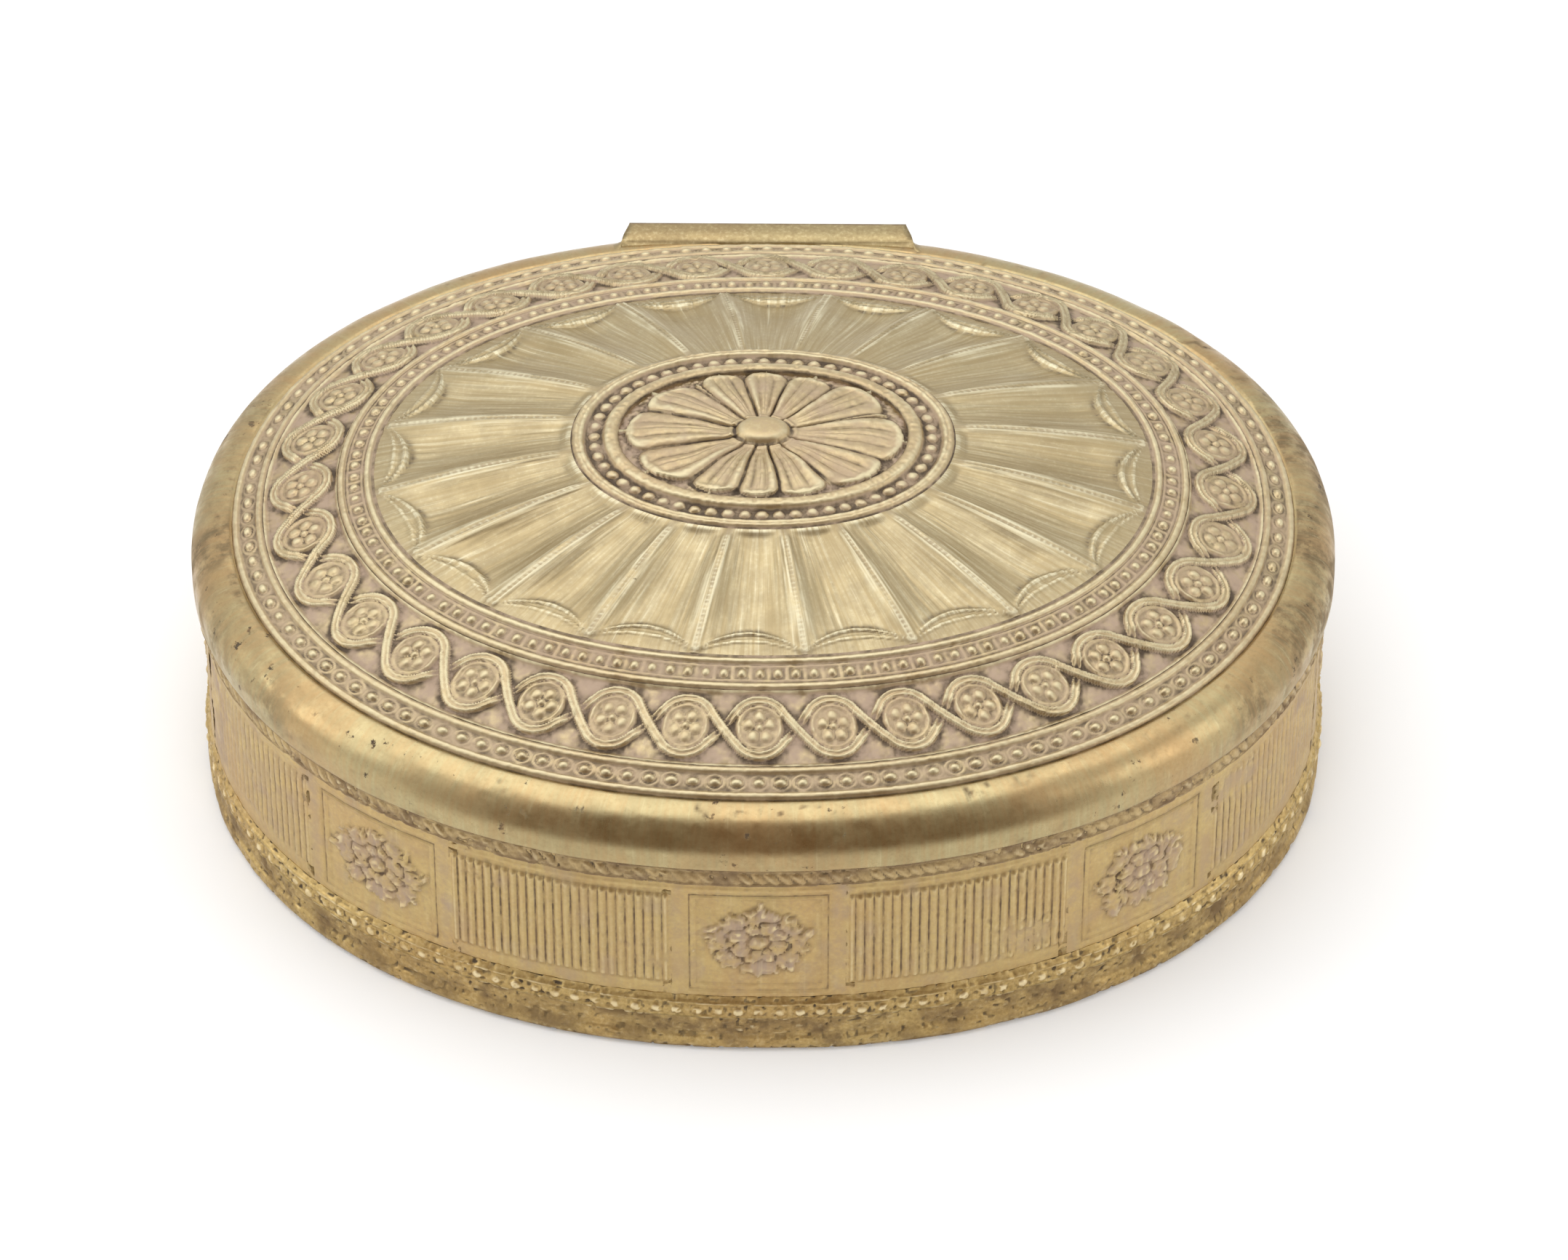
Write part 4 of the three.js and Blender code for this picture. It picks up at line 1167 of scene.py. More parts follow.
def arc(centre: tuple[float, float], radius: float, start: float, end: float, count: int) -> Array:
    """Points of an arc in a section: centre plus radius times minus cosine and sine of the angle."""
    angle = np.radians(np.linspace(start, end, count))
    return np.stack([centre[0] - radius * np.cos(angle), centre[1] + radius * np.sin(angle)], axis=-1)


def path(points: list[tuple[float, float]], step: float) -> Array:
    """Straight stretches between corners, cut into even steps.

    Args:
        points: The corners, as inset and height.
        step: About how long a step is.

    Returns:
        The corners and the points between them.
    """
    corners = np.array(points, float)
    pieces = []
    for a, b in zip(corners[:-1], corners[1:]):
        count = max(int(round(float(np.hypot(*(b - a))) / step)), 1)
        share = np.arange(count)[:, None] / count
        pieces.append(a + (b - a) * share)
    return np.vstack([*pieces, corners[-1:]])


@dataclass
class LidRim:
    """The polished rolled rim of the lid, its skirt and the leaf strip round it."""

    plan: Plan
    finishes: Finishes
    seam_z: float
    strip_top: float
    top_z: float
    roll: float = 4.1
    sheet: float = 0.8
    skirt_inset: float = 0.9
    ledge_above: float = 0.3
    corner: float = 0.25
    shelf_below: float = 1.3
    solder_below: float = 0.10
    columns: int = 720
    leaves: int = 250
    leaf_columns: int = 6
    strip_proud: float = 0.3
    strip_sheet: float = 0.12

    def section(self) -> tuple[Array, int]:
        """Skirt, ledge, upright band, quarter round, turned edge, shelf and the inside of the same.

        Returns:
            The section, and how many of its rows from the start are seen from outside.
        """
        ledge = self.strip_top + self.ledge_above
        centre_z = self.top_z - self.roll
        shelf = self.top_z - self.shelf_below
        solder = self.top_z - self.solder_below
        skirt_in = self.skirt_inset + self.sheet
        outside = np.vstack([
            path([(self.skirt_inset, self.seam_z), (self.skirt_inset, ledge), (self.corner, ledge)], 0.6),
            arc((self.corner, ledge + self.corner), self.corner, -90.0, 0.0, 4)[1:],
            path([(0.0, ledge + self.corner), (0.0, centre_z)], 0.35)[1:-1],
            arc((self.roll, centre_z), self.roll, 0.0, 90.0, 26),
        ])
        turned_edge = [(0.12, self.top_z - 0.06), (0.22, solder), (0.60, solder), (0.60, shelf)]
        shelf_lip = [(2.2, shelf + 0.5), (2.2, shelf - 0.3), (0.0, shelf - self.sheet)]
        inside = np.vstack([
            [(self.roll + inset, z) for inset, z in turned_edge + shelf_lip],
            [(self.roll - self.sheet, shelf - self.sheet)],
            arc((self.roll, centre_z), self.roll - self.sheet, 50.0, 0.0, 8),
            [(skirt_in, ledge), (skirt_in, self.seam_z)],
        ])
        return np.vstack([outside, inside]), len(outside)

    @staticmethod
    def dents(spot: SideSpot) -> tuple[Array, Array]:
        """Soft hammer marks, with patina at the seams, in blotches and in clouds at both ends.

        Args:
            spot: Places on the band.

        Returns:
            The height and the patina.
        """
        slow = Grain(51, (70.0, 0.35), 30.0)(spot.turn, spot.travel)
        quick = Grain(52, (420.0, 1.3), 30.0)(spot.turn, spot.travel)
        blotch = smoothstep(Grain(53, (420.0, 1.1), 30.0, FINE)(spot.turn, spot.travel), 0.34, 0.70)
        crest = smoothstep(spot.travel, 8.5, 10.5)
        streak = smoothstep(Grain(54, (46.0, 0.5), 3.0)(spot.turn, spot.travel), 0.0, 0.7)
        seam = 0.3 * smoothstep(spot.travel, 10.9, 11.6) + 0.5 * smoothstep(spot.travel, 3.4, 2.6)
        ends = smoothstep(np.abs(spot.base[..., 0]), 44.0, 56.0) * smoothstep(spot.travel, 3.0, 5.5)
        cloud = smoothstep(Grain(55, (60.0, 0.28), 3.0)(spot.turn, spot.travel), -0.5, 0.8)
        patina = 0.08 + 0.08 * slow + 1.2 * blotch * (0.3 + 0.7 * crest) * streak
        patina += 0.45 * seam * (0.5 + 0.5 * slow) + 1.3 * ends * (0.30 + 0.70 * cloud)
        return 0.045 * slow + 0.008 * quick - 0.02 * blotch * streak, np.clip(patina, 0.0, 1.0)

    def leaf_strip(self) -> Surface:
        """Slanting leaves in a row between two fine lines."""
        back = self.skirt_inset - self.strip_proud
        front = back - self.strip_sheet
        section = np.vstack([
            path([(front, self.seam_z), (front, self.strip_top)], 0.13),
            [(back, self.strip_top), (back, self.seam_z)],
        ])
        rows = len(section) - 2

        def leaves(spot: SideSpot) -> tuple[Array, Array]:
            """Each leaf is a half round that leans by nine tenths of its pitch over its height.

            Args:
                spot: Places on the band.

            Returns:
                The height and the patina.
            """
            tall = spot.z - self.seam_z
            share = tall / (self.strip_top - self.seam_z)
            lean = 0.9 * (share - 0.5)
            phase = spot.turn * self.leaves + lean
            number = np.round(phase)
            x = nearest(phase) * spot.around / self.leaves
            leaf = np.hypot(x / 0.56, (share - 0.5) / 0.40)
            size = each_one(number, self.leaves, 61, 0.35, 1.0)
            raised = bead(leaf, 0.30) * size
            lines = line(share - 0.04, 0.05, 0.16) + line(share - 0.96, 0.05, 0.16)
            worn = Grain(62, (300.0, 3.0), 9.0)(spot.turn, share)
            dirty = smoothstep(Grain(63, (90.0, 1.0), 9.0)(spot.turn, share), -0.6, 0.5)
            chips = smoothstep(Grain(64, (700.0, 4.0), 9.0, FINE)(spot.turn, share), 0.05, 0.55)
            height = np.maximum(raised, lines) * (1.0 - 0.3 * dirty) + 0.06 * worn - 0.18 * chips * dirty
            # Painted shade: patina along the strip's top edge, under the rim's ledge, and along its bottom
            # edge, at the gap above the wall
            edge = smoothstep(share, 0.16, 0.02) + 0.6 * smoothstep(share, 0.88, 0.98)
            return height, np.clip(0.20 + 0.75 * dirty + 0.9 * edge - 1.2 * raised, 0.0, 1.0)

        hoop = Hoop(self.plan, section, self.leaves * self.leaf_columns)
        return hoop.build(leaves, rows, creased=True, blur=0.4)

    def build(self) -> list[bpy.types.Object]:
        """Builds the rim and its strip.

        Returns:
            The pieces.
        """
        section, outside = self.section()
        rim = Hoop(self.plan, section, self.columns).build(self.dents, outside)
        polished = self.finishes.rim.build()
        return [
            dress("lid_bullnose", rim, polished, "lid_rim", "lid"),
            dress("lid_leaf_strip", self.leaf_strip(), self.finishes.strip.build(), "lid_edge_moulding",
                  "lid"),
        ]


@dataclass
class BodyWall:
    """The stamped wall: flower panels and reeded panels by turns."""

    plan: Plan
    finishes: Finishes
    low: float
    high: float
    inset: float = 0.8
    sheet: float = 0.8
    bays: int = 8
    around: float = 338.5
    flower_panel: float = 15.0
    flower_size: tuple[float, float] = (5.7, 4.95)
    flower_leaves: int = 8
    pilaster: float = 1.6
    reeds: int = 25
    face_inset: float = 0.05
    rail_low: float = 0.7
    rail_high: float = 1.4
    reed_rail: float = 0.9
    rows: int = 59
    flower_columns: int = 66
    pilaster_columns: int = 6
    reed_columns: int = 5

    def panel_turns(self) -> tuple[Array, float, float]:
        """Turns of the columns, close together over flowers and reeds.

        Returns:
            The turns, and half a flower panel and half a reeded panel as shares of a turn.
        """
        half_flower = self.flower_panel / 2 / self.around
        half_reeds = 0.5 / self.bays - half_flower - self.pilaster / self.around
        flower = np.linspace(-half_flower, half_flower, self.flower_columns)
        past_pilaster = 1 / self.bays - half_flower - 2 * half_reeds
        pilaster = np.linspace(half_flower, past_pilaster, self.pilaster_columns)[1:-1]
        start = half_flower + self.pilaster / self.around
        reeds = np.linspace(start, start + 2 * half_reeds, self.reeds * self.reed_columns + 1)
        other = 1 / self.bays - pilaster[::-1]
        bay = np.concatenate([flower, pilaster, reeds, other])
        turns = np.concatenate([0.5 + i / self.bays + bay for i in range(self.bays)])
        return turns, half_flower, half_reeds

    def rosette(self, x: Array, y: Array, turn: Array) -> tuple[Array, Array]:
        """A stamped flower of eight curled leaves round eight petals and a boss.

        Each leaf and petal is a share of the angle. Its edge falls back by the square of the share, and
        its section is one minus the cube of the share, with a vein pressed along its middle.

        Args:
            x: Distance from the flower's middle along the wall.
            y: Distance from it upwards.
            turn: Place round the box, which makes each flower ragged in its own way.

        Returns:
            The height and where the flower is.
        """
        warp = Grain(74)(turn * 250.0 + 11.0, y * 0.75 + 31.0)
        twist = Grain(75)(turn * 190.0 + 17.0, y * 0.6 + 23.0)
        wide, tall = self.flower_size
        radial = np.hypot(x / wide, y / tall) * (1.0 + 0.13 * warp)
        angle = np.arctan2(y, x) + 0.30 * twist
        share = angle * (self.flower_leaves / 2) / np.pi
        leaf_side = 2.0 * nearest(share)
        petal_side = 2.0 * nearest(share + 0.5)
        leaf_end = 0.97 - 0.26 * leaf_side**2 + 0.08 * np.cos(9.0 * leaf_side) + 0.07 * warp * twist
        petal_end = 0.56 - 0.13 * petal_side**2
        leaf = 0.34 * (1.0 - np.abs(leaf_side) ** 3) - line(leaf_side, 0.16, 0.13)
        leaf += line(radial - leaf_end + 0.10, 0.06, 0.13)
        petal = 0.40 * (1.0 - np.abs(petal_side) ** 3) - line(petal_side, 0.16, 0.12)
        petal += line(radial - petal_end + 0.08, 0.05, 0.10)
        shape = np.where(radial < leaf_end, leaf, 0.0)
        shape = np.where(radial < petal_end + 0.05, -0.02, shape)
        shape = np.where(radial < petal_end, petal, shape)
        shape = np.where(radial < 0.24, 0.02, shape)
        shape = np.where(radial < 0.19, bead(radial / 0.19, 0.5) - line(radial, 0.05, 0.15), shape)
        return shape, (radial < leaf_end).astype(float)

    def build(self) -> list[bpy.types.Object]:
        """Builds the wall.

        Returns:
            The piece.
        """
        turns, half_flower, half_reeds = self.panel_turns()
        inner = self.inset + self.sheet
        face = self.inset + self.face_inset
        rows = self.rows
        heights = np.linspace(self.low, self.high, rows)
        section = np.vstack([
            np.stack([np.full(rows, face), heights], axis=-1),
            [(inner, self.high), (inner, self.low)],
        ])
        low, high = self.low + self.rail_low, self.high - self.rail_high
        middle = (low + high) / 2

        def panels(spot: SideSpot) -> tuple[Array, Array]:
            """Sunk panels: by turns a flower in a thin raised frame, and reeds worn away in places.

            Args:
                spot: Places on the band.

            Returns:
                The height and the patina.
            """
            from_flower = np.abs(nearest(spot.turn * self.bays)) / self.bays * spot.around
            x = nearest(spot.turn * self.bays) / self.bays * spot.around
            number = np.round(spot.turn * self.bays)
            flower_edge = half_flower * spot.around - from_flower
            reed_edge = from_flower - (half_flower * spot.around + self.pilaster)
            top_edge = np.minimum(spot.z - low, high - spot.z)
            into_flower = np.minimum(flower_edge, top_edge)
            into_reeds = np.minimum(reed_edge, np.minimum(spot.z - low - self.reed_rail, high - spot.z))
            pillars = smoothstep(np.minimum(-flower_edge, -reed_edge), 0.0, 0.3)
            sunk = smoothstep(into_flower, 0.0, 0.2) + 0.4 * smoothstep(into_reeds, 0.0, 0.6)
            frame = line(into_flower - 0.55, 0.20, 0.20) * (into_flower > 0)
            frame += line(spot.z - self.high + 0.75, 0.22, 0.10)
            flower, petals = self.rosette(x, spot.z - middle, spot.turn)
            flower = flower * each_one(number, self.bays, 71, 0.7, 0.95)
            pitch = 2 * half_reeds * spot.around / self.reeds
            reed = np.abs(np.sin(np.pi * reed_edge / pitch))
            rounding = smoothstep(into_reeds, 0.15, 0.5)
            worn = 0.5 + 0.5 * Grain(72, (60.0, 0.25), 5.0)(spot.turn, spot.z)
            ragged = 0.16 * Grain(78, (420.0, 1.1), 5.0, FINE)(spot.turn, spot.z)
            ends = smoothstep(np.abs(spot.base[..., 0]), 36.0, 58.0)
            rubbed = smoothstep(worn + ragged + 0.12 * ends, 0.90, 0.68)
            reeds = 0.42 * reed**0.55 * rounding * (0.28 + 0.72 * rubbed) * (1.0 - 0.55 * ends)
            crumbs = Grain(76, (800.0, 2.4), 5.0, FINE)(spot.turn, spot.z)
            height = -0.25 * sunk + frame + np.where(into_flower > 0, flower + 0.08 * crumbs * petals, 0.0)
            height += np.where(reed_edge > 0, reeds, 0.0)
            height += 0.03 * Grain(73, (340.0, 1.0), 5.0)(spot.turn, spot.z) + 0.03 * crumbs
            grime = smoothstep(Grain(79, (150.0, 0.35), 5.0)(spot.turn, spot.z), 0.1, 0.8)
            on_reeds = 0.2 * worn + 0.55 * (1.0 - rubbed) + 0.35 * ends
            patina = 0.08 + 0.40 * grime + 0.35 * pillars + 0.25 * ends
            patina += sunk * np.where(into_flower > 0, 0.9 * petals, 1.2 * on_reeds)
            return height, np.clip(patina, 0.0, 1.0)

        surface = Hoop(self.plan, section, len(turns), turns).build(panels, rows, creased=True, blur=0.45)
        finish = self.finishes.wall.build()
        return [dress("stamped_wall", surface, finish, "body_wall", "body")]


@dataclass
class Foot:
    """The stamped strip round the foot, with its bead row, cove and worn leaves."""

    plan: Plan
    finishes: Finishes
    top: float
    inset: float = 0.8
    sheet: float = 0.8
    proud: float = 0.42
    bead_z: float = 5.9
    beads: int = 157
    bead_columns: int = 10

    def build(self) -> list[bpy.types.Object]:
        """Builds the foot.

        Returns:
            The piece.
        """
        inner = self.inset + self.sheet
        out = self.inset - self.proud
        shape = path([(out + 0.3, 0.0), (out, 0.35), (out, 1.9), (out + 0.28, 2.4), (out + 0.28, 4.6),
                      (out + 0.12, 5.0), (out + 0.12, 6.9), (self.inset + 0.02, self.top)], 0.2)
        section = np.vstack([shape, [(inner, self.top), (inner, 0.0)]])
        rows = len(shape)

        def ornament(spot: SideSpot) -> tuple[Array, Array]:
            """A row of round beads between two lines, worn leaves below and a plain fillet at the foot.

            Args:
                spot: Places on the band.

            Returns:
                The height and the patina.
            """
            along, number = spot.along(self.beads)
            size = each_one(number, self.beads, 81, 0.6, 1.0)
            pearls = bead(np.hypot(along / 0.66, (spot.z - self.bead_z) / 0.64), 0.40) * size
            between = line(np.abs(along) - 1.05, 0.16, 0.14)
            between *= smoothstep(np.abs(spot.z - self.bead_z), 0.8, 0.4)
            pearls = np.maximum(pearls, between)
            lines = line(spot.z - 5.0, 0.12, 0.18) + line(spot.z - 6.85, 0.12, 0.20)
            phase = spot.turn * self.beads * 0.5 + 0.35 * np.sin(2.2 * spot.z)
            leaf = np.abs(np.sin(2 * np.pi * phase)) * smoothstep(spot.z, 2.3, 2.8)
            leaf *= smoothstep(spot.z, 4.8, 4.2)
            worn = Grain(82, (520.0, 1.6), 7.0)(spot.turn, spot.z)
            leaves = 0.16 * leaf + 0.10 * worn * smoothstep(spot.z, 2.0, 2.8)
            coarse = Grain(83, (130.0, 0.6), 7.0)(spot.turn, spot.z)
            chips = smoothstep(Grain(84, (760.0, 2.2), 7.0, FINE)(spot.turn, spot.z), 0.25, 0.65)
            height = np.maximum(pearls, lines) + 0.55 * leaves + 0.07 * coarse - 0.16 * chips
            height -= 0.22 * smoothstep(spot.z, 0.9, 0.3)
            patina = 0.30 + 0.3 * smoothstep(spot.z, 1.8, 2.6) - 0.7 * smoothstep(pearls, 0.08, 0.25)
            # Painted contact shade: the patina rises towards the bottom edge where the foot meets the floor,
            # partly grime and partly shade
            patina += 0.10 + 0.55 * coarse + 0.9 * smoothstep(spot.z, 1.0, 0.3)
            patina -= 1.0 * smoothstep(spot.z, 4.7, 5.1)
            return height, np.clip(patina, 0.0, 1.0)

        hoop = Hoop(self.plan, section, self.beads * self.bead_columns)
        surface = hoop.build(ornament, rows, creased=True)
        finish = self.finishes.foot.build()
        return [dress("stamped_foot", surface, finish, "base_moulding", "body")]


# Turned and lofted pieces: hinge, collar and base


def turned(profile: Array, y: float, z: float, solid: bool = True, columns: int = 40) -> Surface:
    """A profile turned about a line along X: minus sine and cosine of the angle times the radius.

    Args:
        profile: Pairs of place along X and radius, from left to right.
        y: Y of the line.
        z: Z of the line.
        solid: Whether discs close its ends. Without them the last pair joins the first, round a bore.
        columns: Points round it.

    Returns:
        The closed surface.
    """
    angle = 2.0 * np.pi * np.arange(columns) / columns
    radius = profile[:, 1][:, None]
    x = np.broadcast_to(profile[:, 0][:, None], (len(profile), columns))
    points = np.stack([x, y - radius * np.sin(angle), z + radius * np.cos(angle)], axis=-1)
    flat = np.zeros(points.shape[:2])
    return Surface(points, flat, flat + 0.2, (), solid)


@dataclass
class Hinge:
    """The two leaves with their knuckles and the pin, on the back of the box."""

    plan: Plan
    finishes: Finishes
    axis_y: float
    axis_z: float
    rim_top: float
    plate_top: float
    low: float
    web_step: float = 0.7
    web_rise: float = 2.1
    wall_step: float = 1.2
    half: float = 15.1
    flare: float = 0.8
    knuckle: float = 1.5
    gap: float = 0.35
    knuckles: int = 5
    pin: float = 0.6
    pin_head: float = 1.1
    roll: float = 4.1
    steps: int = 41

    @property
    def web_back(self) -> float:
        """Y of the back of the web, the part of the lid's leaf that hangs down behind the rim."""
        return self.axis_y - self.web_step

    @property
    def web_low(self) -> float:
        """Z of the web's lower edge."""
        return self.axis_z + self.web_rise

    @property
    def wall_back(self) -> float:
        """Y of the back of the body's leaf."""
        return self.axis_y - self.wall_step

    def back_of(self, x: Array, inset: Array | float) -> Array:
        """Y of the oval with an inset at X: half width times one minus the power of the share of X."""
        long = self.plan.half_length - inset
        wide = self.plan.half_width - inset
        share = np.clip(1.0 - np.abs(x / long) ** self.plan.power, 0.0, 1.0)
        return wide * share ** (1.0 / self.plan.power)

    def stations(self, flared: bool) -> tuple[Array, Array, Array]:
        """Places along X, and how much of the plate is left at each.

        Args:
            flared: Whether the ends run out on the rim as a fillet of solder.

        Returns:
            Shares of the half width, millimetres beyond its ends, and the share of the plate left.
        """
        share, whole = np.linspace(-1.0, 1.0, self.steps), np.ones(self.steps)
        if not flared:
            return share, 0.0 * share, whole
        beyond = np.array([0.04, 0.13, 0.30, 0.60, 1.00, 1.50])
        left = np.array([0.80, 0.50, 0.26, 0.12, 0.04, 0.0])
        end = np.ones(len(beyond))
        return (np.concatenate([-end, share, end]),
                np.concatenate([-beyond[::-1], 0.0 * share, beyond]),
                np.concatenate([left[::-1], whole, left]))

    def lid_leaf(self) -> Surface:
        """Plate on the rim with a rounded back edge, and the web that it turns down into.

        Its hidden side follows the rim's quarter round, sunk into the sheet. Towards its ends the seen
        side comes down to the rim by the share of the plate that is left.
        """
        sunk, clear, hidden_rows, last_angle = 0.3, 0.04, 11, 88.0
        web_rows, web_spread, rim_start = 2, 14.0, 0.12
        shadowed_back_edge = slice(5, 8)
        front = self.plan.half_width - self.roll - 0.25
        top = self.plate_top
        back_edge = [(0.0, 3.5), (0.35, 2.8), (1.2, 1.75), (2.05, 0.7), (2.32, 0.28), (2.62, 0.06)]
        back_edge += [(3.0, 0.0)]
        front_edge = [(1.7, 0.0), (1.1, 0.03), (0.6, 0.14), (0.25, 0.34), (0.0, 0.62)]
        outer = np.array([
            (self.web_back, self.web_low), (self.web_back, self.web_low + 1.6),
            *((self.web_back - ahead, top - below) for ahead, below in back_edge),
            *((front + behind, top - below) for behind, below in front_edge),
        ])
        angle = np.radians(np.linspace(last_angle, 0.0, hidden_rows))
        centre_z = self.rim_top - self.roll
        inset = np.append(self.roll * (1.0 - np.cos(angle)), 0.0) + sunk
        hidden_z = np.append(centre_z + (self.roll - sunk) * np.sin(angle), self.web_low)
        share, beyond, left = self.stations(True)
        reach = self.half + self.flare * smoothstep(outer[:, 0], self.web_back - 2.3, front)
        x = share[:, None] * reach[None, :] + beyond[:, None]
        travel = np.linspace(0.0, 1.0, len(outer))
        rim_angle = np.pi / 2 * np.clip((travel - rim_start) / (1.0 - rim_start), 0.0, 1.0)
        rim_inset = self.roll * (1.0 - np.cos(rim_angle)) + clear
        rim_z = centre_z + self.roll * np.sin(rim_angle)
        rim_z[:web_rows] = self.web_low + travel[:web_rows] * web_spread
        rim_y = self.back_of(x, rim_inset[None, :])
        weight = left[:, None]
        y = outer[None, :, 0] * weight + rim_y * (1.0 - weight)
        z = outer[None, :, 1] * weight + rim_z[None, :] * (1.0 - weight)
        visible = np.stack([x, y, z], axis=-1)
        x_in = np.broadcast_to(x[:, -1:], (len(share), len(inset)))
        z_in = np.broadcast_to(hidden_z, x_in.shape)
        hidden = np.stack([x_in, self.back_of(x_in, inset[None, :]), z_in], axis=-1)
        points = np.concatenate([visible, hidden], axis=1)
        flat = np.zeros(points.shape[:2])
        worn = flat + 0.10
        # Painted shadow: full patina along the plate's rounded back edge, standing in for the knuckles'
        # shadow
        worn[:, shadowed_back_edge] = 1.0
        return Surface(points, flat, worn, (), True)

    def body_leaf(self) -> Surface:
        """Plate on the wall with rounded edges. Its hidden side lies in the wall."""
        into_wall, eased, eased_over = 1.2, 0.35, 0.4
        high = self.axis_z - self.knuckle
        back = self.wall_back
        outer = np.array([
            (back - 0.5, self.low), (back - 0.15, self.low + 0.1), (back, self.low + 0.4), (back, high - 3.0),
            (back, high - 0.3), (back - 0.15, high), (back - 0.5, high + 0.05),
        ])
        share, _, _ = self.stations(False)
        x = share[:, None] * self.half * np.ones(len(outer))
        rounding = smoothstep(np.abs(x), self.half - eased_over, self.half)
        y = np.broadcast_to(outer[:, 0], x.shape) - eased * rounding
        visible = np.stack([x, y, np.broadcast_to(outer[:, 1], x.shape)], axis=-1)
        z_in = np.array([high, (high + self.low) / 2, self.low])
        x_in = share[:, None] * self.half * np.ones(len(z_in))
        hidden = np.stack([x_in, self.back_of(x_in, into_wall), np.broadcast_to(z_in, x_in.shape)], axis=-1)
        points = np.concatenate([visible, hidden], axis=1)
        flat = np.zeros(points.shape[:2])
        return Surface(points, flat, flat + 0.3, (), True)

    def barrel(self, left: float, right: float) -> Surface:
        """One knuckle with eased ends, bored for the pin."""
        ease, radius = 0.18, self.knuckle
        bore = self.pin + 0.25
        profile = [(left, bore), (left, radius - ease), (left + ease, radius)]
        profile += [(right - ease, radius), (right, radius - ease), (right, bore)]
        return turned(np.array(profile), self.axis_y, self.axis_z, solid=False)

    def tongue(self, left: float, right: float, of_lid: bool) -> Surface:
        """The flat part between a knuckle and its leaf.

        Args:
            left: Where it starts along X.
            right: Where it ends.
            of_lid: Whether it joins the lid's leaf, and otherwise the body's.

        Returns:
            The closed surface.
        """
        if of_lid:
            loop = [(self.web_back, self.axis_z + 1.1), (self.web_back, self.web_low + 0.8)]
            loop += [(self.web_back - 0.9, self.web_low + 0.8), (self.web_back - 0.9, self.axis_z + 0.8)]
        else:
            high = self.axis_z - self.knuckle
            loop = [(self.wall_back, high - 0.8), (self.axis_y - 0.1, high + 0.2)]
            loop += [(self.axis_y - 0.95, self.axis_z - 0.2), (self.wall_back - 0.7, self.axis_z - 0.6)]
            loop += [(self.wall_back - 0.7, high - 0.6)]
        x = np.linspace(left, right, 3)
        ring = np.array(loop)
        points = np.stack(np.broadcast_arrays(x[:, None], ring[None, :, 0], ring[None, :, 1]), axis=-1)
        flat = np.zeros(points.shape[:2])
        return Surface(points, flat, flat + 0.4, (0, 2), True)

    def build(self) -> list[bpy.types.Object]:
        """Builds both leaves, their knuckles and the pin.

        Returns:
            The pieces.
        """
        plain, steel = self.finishes.plain.build(), self.finishes.wire.build()
        shapes = [("upper_hinge_leaf", self.lid_leaf(), "lid")]
        shapes.append(("lower_hinge_leaf", self.body_leaf(), "body"))
        width = (2 * self.half - (self.knuckles - 1) * self.gap) / self.knuckles
        for number in range(self.knuckles):
            left = -self.half + number * (width + self.gap)
            right = left + width
            of_lid = number % 2 == 1
            body = "lid" if of_lid else "body"
            shapes.append((f"hinge_knuckle_{number + 1}", self.barrel(left, right), body))
            shapes.append((f"hinge_tongue_{number + 1}", self.tongue(left, right, of_lid), body))
        made = [dress(name, surface, plain, f"{body}_hinge_leaf", body)
                for name, surface, body in shapes]
        end, head = self.half + 0.3, self.pin_head
        profile = [(-end - 0.5, 0.7 * head), (-end - 0.25, head), (-end, head), (-end, self.pin)]
        profile += [(end, self.pin), (end, head), (end + 0.25, head), (end + 0.5, 0.7 * head)]
        wire = turned(np.array(profile), self.axis_y, self.axis_z)
        return [*made, dress("hinge_wire", wire, steel, "hinge_pin", "body")]


